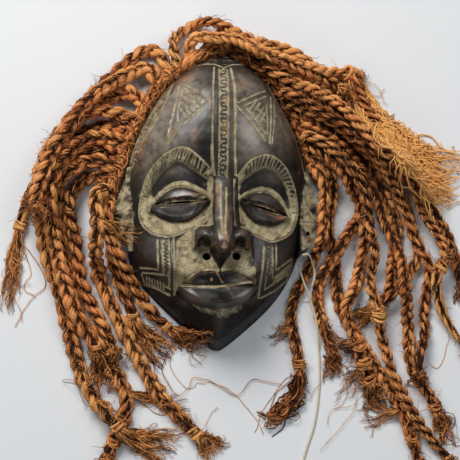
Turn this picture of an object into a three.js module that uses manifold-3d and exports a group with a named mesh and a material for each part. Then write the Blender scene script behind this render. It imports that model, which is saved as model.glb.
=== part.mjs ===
// A carved wooden face mask of the Dan type with its plaited fibre hair.
// It lies on its back on a surface at z = 0: +Z out of the face, +Y towards the forehead, +X to the viewer's right.
// All sizes are in millimetres.
import * as THREE from 'three';
import { mergeVertices } from 'three/addons/utils/BufferGeometryUtils.js';
import Module from 'manifold-3d';

const wasm = await Module();
wasm.setup();

// Driving sizes
const rimHeight = 9;            // plain wall round the edge, up from the surface
const chinEdge = 3;             // the same wall under the chin
const hollowInset = 10;         // wall thickness at the rim
const leftPlait = { width: 11, thickness: 8.4 };
const otherPlait = { width: 9.6, thickness: 7.8 };      // on the right and on top
const plaitRootWidth = 7.6;     // where a plait is looped to the edge cord
const plaitStep = 27;           // length of one straight length of a plait
const frayThickness = 4;        // of the loose fibre at the very end of a plait
const frayStep = 14;
const edgeCordDiameter = 9;
const edgeCordHeight = 12.5;    // middle of the cord above the surface
const threadDiameter = 2;
const threadStep = 6;
const clearance = 0.45;         // left between touching pieces
const rootGap = 1.5;            // left between the edge cord and the end of a plait
const centring = [5.29, 0.96];        // moves the middle of mask and edge cord to x = y = 0

// Rim of the face without its ears, clockwise from the top
const rimPoints = [
  [1, 116], [14, 112], [28, 103], [40, 92], [51, 74], [60, 56], [67, 37], [71, 17], [72, -3], [71, -22],
  [68, -40], [63, -57], [56, -73], [46, -88], [34, -101], [20, -114], [8, -124], [1, -127.5], [-7, -124],
  [-20, -114], [-35, -102], [-50, -88], [-62, -75], [-70, -61], [-74, -44], [-76.5, -22], [-77, -2],
  [-76, 15], [-73, 32], [-67, 49], [-59, 66], [-48, 84], [-35, 98], [-20, 109], [-9, 114.5],
];
// Outer edges of the pointed ear plates, top to bottom
const leftEar = [[-74, 12], [-77.5, 6], [-82, -6], [-87, -22.5], [-83.5, -33], [-76, -42.5], [-69, -50]];
const rightEar = [[70.5, 17], [75, 4], [79, -9], [81.5, -22], [78.5, -33], [73, -43.5], [66, -48]];

// Height of the face along its middle line, and of the hollow behind it: [y, z]
const faceCrest = [[-127, 12], [-112, 47], [-100, 54], [-85, 57.5], [-66, 55.5], [-40, 51], [-20, 50], [-5, 51],
  [6, 55], [16, 60], [35, 62.5], [55, 61], [75, 56], [90, 47], [102, 34], [110, 22], [116, 12]];
const hollowCrest = [[-114, 4], [-104, 16], [-90, 32], [-62, 38], [-40, 36], [-15, 33], [5, 38], [30, 50],
  [58, 50], [82, 38], [98, 18], [106, 4]];

// Eye sockets: centre, half width, half height, tilt in degrees
const sockets = [
  { x: -37, y: -8, across: 29.5, up: 34.5, tilt: 8 },
  { x: 37.5, y: -11.5, across: 26, up: 34, tilt: -8 },
];
// Eyes: the almond of the lids, and the narrow opening between them
const eyes = [
  { x: -33, y: -17, half: 23.5, up: 15, down: 14, tilt: 8, slit: { x: -32, y: -14.2, half: 21, tilt: 3 } },
  { x: 34.2, y: -18, half: 20.8, up: 14, down: 13, tilt: -13.5, slit: { x: 34.2, y: -17, half: 20, tilt: -13.5 } },
];
const slitOpening = { length: 24, height: 1.8 };
const nostrils = [
  { x: -14.2, y: -50.5, across: 6.4, up: 6.6 },
  { x: 13.8, y: -50.5, across: 5.4, up: 6.6 },
];
const noseHoles = [[-11.5, -58.5], [12, -57.5]];
const noseHoleRadius = 3.3;
const earHoles = [[-74.5, -34.5], [71.5, -33]];
const earHoleRadius = 1.6;
const mouth = { x: -2, y: -82.5, half: 31, up: 14.5, down: 15.5, tilt: 1.3 };
// Tie holes through the edge below the jaw, each with the direction it is drilled in
const rimHoles = [[-7, -124, 65], [-26, -109, 48], [27, -107, 132]];
const rimHoleRadius = 1.5;

const { abs, cos, exp, hypot, max, min, sin, sqrt, PI } = Math;
const clamp = THREE.MathUtils.clamp;
const radians = THREE.MathUtils.degToRad;

// 0 before a, 1 after b, smooth between them; b may be the smaller
function step(a, b, t) {
  const u = clamp((t - a) / (b - a), 0, 1);
  return u * u * (3 - 2 * u);
}

// The smaller and the larger of two heights, rounded over k where they meet
function smoothMin(a, b, k) {
  const h = clamp(0.5 + 0.5 * (b - a) / k, 0, 1);
  return b + (a - b) * h - k * h * (1 - h);
}

const smoothMax = (a, b, k) => -smoothMin(-a, -b, k);

// A curve through [position, value] pairs that never swings past them
function profile(pairs) {
  const slopes = pairs.slice(1).map(([p, v], i) => (v - pairs[i][1]) / (p - pairs[i][0]));
  const tangents = pairs.map((_, i) => {
    if (i === 0 || i === pairs.length - 1) return slopes[min(i, slopes.length - 1)];
    const [a, b] = [slopes[i - 1], slopes[i]];
    return a * b <= 0 ? 0 : 2 * a * b / (a + b);
  });
  return position => {
    const t = clamp(position, pairs[0][0], pairs.at(-1)[0]);
    let i = 0;
    while (i < pairs.length - 2 && t >= pairs[i + 1][0]) i += 1;
    const h = pairs[i + 1][0] - pairs[i][0];
    const s = (t - pairs[i][0]) / h;
    return (1 + 2 * s) * (1 - s) ** 2 * pairs[i][1] + s * (1 - s) ** 2 * h * tangents[i]
      + s * s * (3 - 2 * s) * pairs[i + 1][1] + s * s * (s - 1) * h * tangents[i + 1];
  };
}

// The rim as a smooth closed line
const rimCurve = new THREE.CatmullRomCurve3(rimPoints.map(([x, y]) => new THREE.Vector3(x, y, 0)), true, 'catmullrom', 0.5);
const rimLine = rimCurve.getPoints(rimPoints.length * 6).slice(0, -1);

// Distance from the rim, positive inside it
function rimDistance(x, y) {
  let best = Infinity;
  let inside = false;
  rimLine.forEach((a, i) => {
    const b = rimLine[(i + 1) % rimLine.length];
    const [ex, ey] = [b.x - a.x, b.y - a.y];
    const t = clamp(((x - a.x) * ex + (y - a.y) * ey) / (ex * ex + ey * ey), 0, 1);
    best = min(best, hypot(x - a.x - t * ex, y - a.y - t * ey));
    if ((a.y > y) !== (b.y > y) && x < ex * (y - a.y) / ey + a.x) inside = !inside;
  });
  return inside ? best : -best;
}

// x on a line of points sorted by y, or undefined past its ends
function across(sorted, y) {
  if (y < sorted[0].y || y > sorted.at(-1).y) return undefined;
  let i = 0;
  while (i < sorted.length - 2 && y >= sorted[i + 1].y) i += 1;
  const t = (y - sorted[i].y) / (sorted[i + 1].y - sorted[i].y || 1);
  return sorted[i].x + (sorted[i + 1].x - sorted[i].x) * t;
}

const upwards = list => list.map(p => (Array.isArray(p) ? { x: p[0], y: p[1] } : p)).sort((a, b) => a.y - b.y);
const sides = {
  left: upwards(rimLine.filter(p => p.x < 1)),
  right: upwards(rimLine.filter(p => p.x >= 1)),
  leftEar: upwards(leftEar),
  rightEar: upwards(rightEar),
};
const faceEdges = y => [across(sides.left, y) ?? 1, across(sides.right, y) ?? 1];
const maskEdges = y => [
  min(across(sides.left, y) ?? 1, across(sides.leftEar, y) ?? 1),
  max(across(sides.right, y) ?? 1, across(sides.rightEar, y) ?? 1),
];

// Position inside a tilted shape: u along it, v across it
function turned(x, y, shape) {
  const t = radians(shape.tilt ?? 0);
  const [dx, dy] = [x - shape.x, y - shape.y];
  return [dx * cos(t) + dy * sin(t), -dx * sin(t) + dy * cos(t)];
}

// 1 on the long axis of an almond and 0 on its outline
function almond(u, v, half, up, down) {
  if (abs(u) >= half) return 0;
  const height = (v > 0 ? up : down) * (1 - (u / half) ** 2) ** 0.85 + 1e-6;
  return clamp(1 - abs(v) / height, 0, 1);
}

function ellipse(x, y, shape, power = 2) {
  const [u, v] = turned(x, y, shape);
  return (abs(u / shape.across) ** power + abs(v / shape.up) ** power) ** (1 / power);
}

const crestAt = profile(faceCrest);
const noseHalfWidth = profile([[-56, 3.2], [-50, 4.2], [-40, 6.2], [-28, 7], [-8, 6.6], [8, 6.8]]);
const noseRidge = profile([[-56, 77.5], [-51, 77.5], [-30, 69.5], [-8, 58.5], [3, 55], [12, 55]]);
const noseSideSlope = profile([[-50, 1.3], [-36, 2], [5, 2.2]]);

// The plain face: a high forehead, flatter cheeks and a jaw of two planes that meet in the chin's keel
function plainFace(x, y) {
  const [left, right] = faceEdges(y);
  const middle = 0.175 * (left + right);
  const q = clamp(x > middle ? (x - middle) / (right - middle) : (middle - x) / (middle - left), 0, 1);
  const roundness = 2.3 + 0.5 * step(0, -60, y);
  const dome = rimHeight + (crestAt(y) - rimHeight) * (1 - q ** roundness) ** 0.56;
  const inside = max(rimDistance(x, y), 0);
  const wall = rimHeight + 3.2 * inside;
  const jawPlane = chinEdge + 16 * step(-0.5, 6.5, inside) + 1.5 * max(inside - 5, 0);
  const jaw = step(-40, -80, y);
  return max(smoothMin(dome, (1 - jaw) * wall + jaw * jawPlane, 5), chinEdge);
}

function carveSockets(z, x, y) {
  for (const socket of sockets) {
    const inside = (1 - ellipse(x, y, socket, 2.2)) * 0.5 * (socket.across + socket.up);
    z -= 2.6 * step(0, 6.5, inside) + 5.2 * step(6, 14, inside) * (0.6 + 0.4 * step(-24, -6, y));
  }
  return z;
}

// Around the nose and the upper lip the face lies a little lower
function carveMuzzle(z, x, y) {
  const width = step(0, 3, 31.5 - abs(x + 4) * (1 + 0.004 * (y + 62)));
  return z - 1.8 * width * step(-97, -90, y) * step(-34, -42, y + 0.25 * abs(x));
}

function addEyes(z, x, y) {
  for (const eye of eyes) {
    const [u, v] = turned(x, y, eye);
    z += 2 * step(0, 0.2, almond(u, v, eye.half + 2, eye.up + 4.5, eye.down + 2.5));
    const lid = almond(u, v, eye.half, eye.up, eye.down);
    z += 6 * sqrt(1 - (1 - lid) ** 2) - 1.5 * step(0, 0.06, lid);
    const [su, sv] = turned(x, y, eye.slit);
    z -= 4.2 * step(0, 0.55, almond(su, sv, eye.slit.half, 4.4, 3.6));
  }
  return z;
}

// A flat-topped ridge that widens into two arched wings over the nostrils
function addNose(z, x, y) {
  const side = abs(x - 0.3);
  if (y > 9 || side > 24.5) return z;
  let nose = noseRidge(y) - 0.035 * side ** 2 - max(side - noseHalfWidth(y), 0) * noseSideSlope(y);
  const wing = 69 - ((side - 13) / 9) ** 2 * 8 - (max(y + 44, 0) / 8) ** 2 * 9 - (max(-44 - y, 0) / 12) ** 2 * 4;
  nose = smoothMax(nose, wing, 2.5);
  for (const nostril of nostrils) {
    nose += (min(nose, 55) - nose) * step(1, 0.62, ellipse(x, y, nostril));
  }
  const low = -52.5 - 3 * step(7, 2, side);
  const under = step(low - 5 * step(9, 2, side) - 1.5, low, y) * step(24.5, 22, side);
  return max(z, z + (nose - z) * under);
}

function addLips(z, x, y) {
  const [u, v] = turned(x, y, mouth);
  const dip = 1 - (v > 0 ? 0.14 * exp(-(((u - 0.5) / 4.5) ** 2)) : 0);
  const a = almond(u, v, mouth.half, mouth.up, mouth.down);
  const lips = a > 0 ? clamp(1 - (1 - a) / dip, 0, 1) : 0;
  const lip = 65 + (v > 0 ? 0.22 * v : -0.025 * v * v) - 0.0105 * u * u;
  const raised = z + (max(lip, z) - z) * step(0, 0.3, lips);
  return raised - 1.5 * exp(-(v * v)) * step(mouth.half, mouth.half - 4, abs(u));
}

// The ears slope down and outwards from the side of the face, with a low crease from their point
function addEars(z, x, y) {
  if (y < -52 || y > 18 || abs(x) < 64) return z;
  const slope = x < 0
    ? 30 - 0.62 * (-65 - x) - 0.1 * abs(y + 24 - 0.25 * (x + 80))
    : 30 - 0.66 * (x - 66) - 0.12 * abs(y + 22);
  return max(z, slope);
}

function faceHeight(x, y) {
  let z = plainFace(x, y);
  z = carveSockets(z, x, y);
  z = carveMuzzle(z, x, y);
  z = addEyes(z, x, y);
  z = addNose(z, x, y);
  z = addLips(z, x, y);
  return addEars(z, x, y);
}

// A closed body between a surface over rows of points and a flat base
function domeOverRows(rows, heightAt, base) {
  const position = [];
  const index = [];
  const columns = rows[0].length;
  for (const row of rows) {
    for (const [x, y] of row) position.push(x, y, heightAt(x, y));
  }
  const at = (r, c) => r * columns + c;
  const midHeight = (a, b) => 0.5 * (position[3 * a + 2] + position[3 * b + 2]);
  for (let r = 0; r < rows.length - 1; r += 1) {
    for (let c = 0; c < columns - 1; c += 1) {
      const [a, b, d, e] = [at(r, c), at(r, c + 1), at(r + 1, c + 1), at(r + 1, c)];
      const [x, y] = [0, 1].map(k => 0.25 * (position[3 * a + k] + position[3 * b + k] + position[3 * d + k] + position[3 * e + k]));
      const real = heightAt(x, y);
      if (abs(midHeight(a, d) - real) <= abs(midHeight(b, e) - real)) index.push(a, b, d, a, d, e);
      else index.push(a, b, e, b, d, e);
    }
  }
  const loop = [];
  for (let c = 0; c < columns; c += 1) loop.push(at(0, c));
  for (let r = 1; r < rows.length; r += 1) loop.push(at(r, columns - 1));
  for (let c = columns - 2; c >= 0; c -= 1) loop.push(at(rows.length - 1, c));
  for (let r = rows.length - 2; r > 0; r -= 1) loop.push(at(r, 0));
  const low = position.length / 3;
  for (const i of loop) position.push(position[3 * i], position[3 * i + 1], base);
  loop.forEach((top, i) => {
    const j = (i + 1) % loop.length;
    index.push(low + i, low + j, loop[j], low + i, loop[j], top);
  });
  const contour = loop.map(i => new THREE.Vector2(position[3 * i], position[3 * i + 1]));
  for (const [a, b, c] of THREE.ShapeUtils.triangulateShape(contour, [])) index.push(low + a, low + c, low + b);
  const geometry = new THREE.BufferGeometry();
  geometry.setAttribute('position', new THREE.Float32BufferAttribute(position, 3));
  geometry.setIndex(index);
  return geometry;
}

// Rows across the mask, close together where the carving is fine
function rowsBetween(low, high, gapAt, edgesAt, columnPlaces) {
  const levels = [low];
  while (levels.at(-1) + gapAt(levels.at(-1)) < high) levels.push(levels.at(-1) + gapAt(levels.at(-1)));
  levels.push(high);
  return levels.map(y => {
    const [left, right] = edgesAt(y);
    return columnPlaces.map(s => [left + (right - left) * 0.5 * (1 + s), y]);
  });
}

// Column places from -1 to 1 with their gaps in proportion to gapAt
function columnsBy(gapAt) {
  const half = [0];
  while (half.at(-1) + gapAt(half.at(-1)) < 1) half.push(half.at(-1) + gapAt(half.at(-1)));
  const places = half.map(s => s / (half.at(-1) + gapAt(half.at(-1))));
  return [...places.map(s => -s).reverse().slice(0, -1), ...places, 1].sort((a, b) => a - b);
}

function toSolid(geometry) {
  const plain = geometry.clone();
  plain.deleteAttribute('normal');
  plain.deleteAttribute('uv');
  const merged = mergeVertices(plain, 1e-4);
  return new wasm.Manifold(new wasm.Mesh({
    numProp: 3,
    vertProperties: new Float32Array(merged.attributes.position.array),
    triVerts: new Uint32Array(merged.index.array),
  }));
}

function fromSolid(solid) {
  const { vertProperties, triVerts } = solid.getMesh();
  const geometry = new THREE.BufferGeometry();
  geometry.setAttribute('position', new THREE.BufferAttribute(new Float32Array(vertProperties), 3));
  geometry.setIndex(new THREE.BufferAttribute(new Uint32Array(triVerts), 1));
  return geometry;
}

function drilled(x, y, radius, low, high) {
  const hole = new THREE.CylinderGeometry(radius, radius, high - low, 8);
  hole.rotateX(PI / 2).translate(x, y, (low + high) / 2);
  return toSolid(hole);
}

function maskGeometry() {
  const rowGap = y => (y > 16 ? 10 : y > -40 ? 4.6 : y > -102 ? 3.1 : 6.5);
  const columnGap = s => (s < 0.4 ? 0.041 : s < 0.8 ? 0.08 : 0.075);
  const block = domeOverRows(rowsBetween(-127, 115.6, rowGap, maskEdges, [-1, ...columnsBy(columnGap)]
    .filter((s, i, all) => i === 0 || s > all[i - 1])), faceHeight, 0);
  const hollowEdges = y => {
    const [left, right] = faceEdges(y);
    return [min(left + hollowInset, -2), max(right - hollowInset, 2)];
  };
  const hollowAt = profile(hollowCrest);
  const hollowHeight = (x, y) => {
    const [left, right] = hollowEdges(y);
    const q = clamp(abs((2 * x - left - right) / (right - left)), 0, 1);
    return 1 + (hollowAt(y) - 1) * (1 - q ** 2.6) ** 0.6;
  };
  const hollow = domeOverRows(rowsBetween(-112, 104, () => 12, hollowEdges, columnsBy(() => 0.14)), hollowHeight, -5);
  let solid = toSolid(block).subtract(toSolid(hollow));
  for (const { slit } of eyes) {
    const opening = new THREE.BoxGeometry(slitOpening.length, slitOpening.height, 60);
    opening.rotateZ(radians(slit.tilt)).translate(slit.x, slit.y, 45);
    solid = solid.subtract(toSolid(opening));
  }
  for (const [x, y] of noseHoles) solid = solid.subtract(drilled(x, y, noseHoleRadius, 10, 90));
  for (const [x, y] of earHoles) solid = solid.subtract(drilled(x, y, earHoleRadius, -5, 60));
  for (const [x, y, heading] of rimHoles) {
    const hole = new THREE.CylinderGeometry(rimHoleRadius, rimHoleRadius, 40, 8);
    hole.rotateZ(PI / 2).rotateY(radians(12)).rotateZ(radians(heading)).translate(x, y, 8);
    solid = solid.subtract(toSolid(hole));
  }
  return fromSolid(solid);
}

// A polygonal line as a curve whose even steps fall on its points
class Route extends THREE.Curve {
  constructor(points) {
    super();
    this.points = points;
  }

  getPoint(t, target = new THREE.Vector3()) {
    const place = clamp(t, 0, 1) * (this.points.length - 1);
    const i = min(Math.floor(place), this.points.length - 2);
    return target.copy(this.points[i]).lerp(this.points[i + 1], place - i);
  }

  getPointAt(t, target) {
    return this.getPoint(t, target);
  }

  getTangentAt(t, target = new THREE.Vector3()) {
    const reach = 0.5 / (this.points.length - 1);
    return target.copy(this.getPoint(t + reach)).sub(this.getPoint(t - reach)).normalize();
  }
}

function tubeGeometry(points, diameter, sideCount = 8) {
  const section = new THREE.Shape();
  for (let i = 0; i < sideCount; i += 1) {
    const angle = 2 * PI * (i + 0.5) / sideCount;
    const [x, y] = [cos(angle) * diameter / 2, sin(angle) * diameter / 2];
    if (i === 0) section.moveTo(x, y);
    else section.lineTo(x, y);
  }
  return new THREE.ExtrudeGeometry(section, { steps: points.length - 1, bevelEnabled: false, extrudePath: new Route(points) });
}

// A body of flat-topped oval sections, level across a line of points
function flatTubeGeometry(points, wide, high) {
  const turns = [0, 1, 2, 3, 4, 5].map(i => PI * i / 3);
  const rise = 1.03;             // makes up for the flat top
  const vertices = points.flatMap((p, i) => {
    const ahead = points[min(i + 1, points.length - 1)].clone().sub(points[max(i - 1, 0)]).setZ(0).normalize();
    return turns.flatMap(a => {
      const side = cos(a) * wide[i];
      return [p.x - ahead.y * side, p.y + ahead.x * side, p.z + sin(a) * high[i] * rise];
    });
  });
  const index = [];
  const n = turns.length;
  const last = (points.length - 1) * n;
  for (let i = 0; i < points.length - 1; i += 1) {
    for (let k = 0; k < n; k += 1) {
      const [a, b] = [i * n + k, i * n + (k + 1) % n];
      index.push(a, b, b + n, a, b + n, a + n);
    }
  }
  for (let k = 1; k < n - 1; k += 1) index.push(0, k + 1, k, last, last + k, last + k + 1);
  const geometry = new THREE.BufferGeometry();
  geometry.setAttribute('position', new THREE.Float32BufferAttribute(vertices, 3));
  geometry.setIndex(index);
  return geometry;
}

// The edge cord lies against the rim from the left ear over the forehead to the right ear
const cordOffset = edgeCordDiameter / 2 + clearance;
const cordStart = [[-91, -17], [-89, -5], [-86, 6], [-83.5, 16]];
const cordEnd = [[77.5, 24], [80.5, 13]];

function edgeCordLine() {
  const along = [];
  rimLine.forEach((p, i) => {
    if (p.y < 24) return;
    const next = rimLine[(i + 1) % rimLine.length];
    const previous = rimLine.at(i - 1);
    const [tx, ty] = [next.x - previous.x, next.y - previous.y];
    const length = hypot(tx, ty);
    along.push([p.x - cordOffset * ty / length, p.y + cordOffset * tx / length]);
  });
  const left = along.filter(([x]) => x < 0).sort((a, b) => a[1] - b[1]);
  const right = along.filter(([x]) => x >= 0).sort((a, b) => b[1] - a[1]);
  const apex = [[1, 116 + cordOffset]];
  const all = [...cordStart, ...left, ...apex, ...right, ...cordEnd];
  const curve = new THREE.CatmullRomCurve3(all.map(([x, y]) => new THREE.Vector3(x, y, edgeCordHeight)));
  return curve.getSpacedPoints(36);
}
const edgeCord = edgeCordLine();

// Heights of everything laid so far, over a grid of small cells on the surface
const field = { cell: 2, left: -240, low: -280, wide: 245, deep: 235 };
field.tops = new Float32Array(field.wide * field.deep);

// Calls visit(index, distance) for each cell within reach of a place
function cellsNear(x, y, reach, visit) {
  const column = (x - field.left) / field.cell;
  const row = (y - field.low) / field.cell;
  const n = Math.ceil(reach / field.cell);
  for (let r = Math.round(row) - n; r <= Math.round(row) + n; r += 1) {
    for (let c = Math.round(column) - n; c <= Math.round(column) + n; c += 1) {
      const distance = field.cell * hypot(c - column, r - row);
      if (distance < reach && r >= 0 && c >= 0 && r < field.deep && c < field.wide) visit(r * field.wide + c, distance);
    }
  }
}

// Height of the middle of an oval thing, so wide and so high to each side, that rests there on what lies below
function restingHeight(x, y, wide, high) {
  let height = 0;
  cellsNear(x, y, wide, (i, distance) => {
    if (field.tops[i] > 0) height = max(height, field.tops[i] + high * sqrt(1 - (distance / wide) ** 2));
  });
  return height;
}

function pileUp(x, y, z, wide, high) {
  cellsNear(x, y, wide, (i, distance) => {
    field.tops[i] = max(field.tops[i], z + high * sqrt(1 - (distance / wide) ** 2));
  });
}

// The mask itself is the first thing that the plaits can rest on
for (let y = -128; y <= 118; y += field.cell) {
  const [left, right] = maskEdges(y);
  for (let x = left; x <= right; x += field.cell) {
    const height = max(addEars(plainFace(x, y), x, y), 0);
    cellsNear(x, y, field.cell, i => { field.tops[i] = max(field.tops[i], height); });
  }
}
edgeCord.slice(1).forEach((p, i) => {
  for (let t = 0; t < 1; t += 0.2) {
    const at = p.clone().lerp(edgeCord[i], t);
    pileUp(at.x, at.y, at.z, edgeCordDiameter / 2, edgeCordDiameter / 2);
  }
});

// Lays a line of points on whatever is there, sagging between its supports, and adds it to the pile;
// half widths and half thicknesses are given for each point
function lay(line, wide, high, firstHeight) {
  const mix = THREE.MathUtils.lerp;
  const heights = [...high];
  heights[0] = max(heights[0], firstHeight);
  const supports = [];
  for (let i = 0; i < line.length - 1; i += 1) {
    const count = Math.ceil(line[i].distanceTo(line[i + 1]) / 3);
    for (let k = i === 0 ? 1 : 0; k <= count; k += 1) {
      const t = k / count;
      const at = line[i].clone().lerp(line[i + 1], t);
      const half = mix(high[i], high[i + 1], t);
      const reach = max(mix(wide[i], wide[i + 1], t), field.cell) + clearance;
      supports.push({ i, t, needed: max(restingHeight(at.x, at.y, reach, half + clearance) - clearance / 2, half) });
    }
  }
  // the lowest heights that clear every support: each one pushes its two ends up, or lets them sink back
  const pushes = supports.map(() => 0);
  for (let turn = 0; turn < 150; turn += 1) {
    supports.forEach(({ i, t, needed }, k) => {
      const lack = (needed - heights[i] * (1 - t) - heights[i + 1] * t) / ((1 - t) ** 2 + t ** 2);
      const push = max(-pushes[k], lack);
      pushes[k] += push;
      heights[i] += push * (1 - t);
      heights[i + 1] += push * t;
    });
  }
  const laid = line.map((p, i) => new THREE.Vector3(p.x, p.y, heights[i]));
  laid.slice(1).forEach((p, i) => {
    const count = Math.ceil(p.distanceTo(laid[i]) / 1.5);
    for (let k = 0; k <= count; k += 1) {
      const at = laid[i].clone().lerp(p, k / count);
      pileUp(at.x, at.y, at.z, mix(wide[i], wide[i + 1], k / count), mix(high[i], high[i + 1], k / count));
    }
  });
  return laid;
}

// Place on the edge cord's middle line nearest to a point
function nearestOnCord(point) {
  let best = { distance: Infinity };
  edgeCord.slice(1).forEach((q, i) => {
    const line = new THREE.Line3(edgeCord[i], q);
    const at = line.closestPointToPoint(point, true, new THREE.Vector3());
    const distance = at.distanceTo(point);
    if (distance < best.distance) best = { distance, at };
  });
  return best;
}

// A route as a smooth line in even steps, from its place `start` on
function evenSteps(curve, start, stepLength) {
  const length = curve.getLength();
  const steps = max(3, Math.round((length - start) / stepLength));
  return Array.from({ length: steps + 1 }, (_, i) => {
    const place = (start + (length - start) * i / steps) / length;
    return curve.getPointAt(min(place, 1)).setZ(0);
  });
}

// The plan of a plait, which begins where it meets the edge cord
function plaitPlan(route, width) {
  const points = route.map(([x, y]) => new THREE.Vector3(x, y, edgeCordHeight));
  const curve = new THREE.CatmullRomCurve3([nearestOnCord(points[0]).at, ...points]);
  const length = curve.getLength();
  let start = 0;
  for (let far = false; !far; start += 0.5) {
    const { at, distance } = nearestOnCord(curve.getPointAt(start / length));
    const out = curve.getPointAt(start / length).sub(at).normalize();
    const sideways = sqrt(max(1 - curve.getTangentAt(start / length).dot(out) ** 2, 0));
    far = distance > edgeCordDiameter / 2 + rootGap + width / 2 * sideways;
  }
  return evenSteps(curve, start, plaitStep);
}

// Lets the plan of a plait run on into its loose fibre, which turns to its own heading as it spreads and thins
function addFray(plan, wide, high, [heading, length, width] = shortFray) {
  const [wideEnd, highEnd] = [wide.at(-1), high.at(-1)];
  const ahead = plan.at(-1).clone().sub(plan.at(-2)).normalize();
  const goal = heading === undefined ? ahead : new THREE.Vector3(cos(radians(heading)), sin(radians(heading)), 0);
  const count = Math.ceil(length / frayStep);
  for (let i = 1; i <= count; i += 1) {
    const direction = ahead.clone().lerp(goal, i === 1 && count > 1 ? 0.6 : 1).normalize();
    plan.push(plan.at(-1).clone().addScaledVector(direction, length / count));
    wide.push(wideEnd + (width / 2 - wideEnd) * i / count);
    high.push(highEnd + (frayThickness / 2 - highEnd) * i / count);
  }
}

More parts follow.
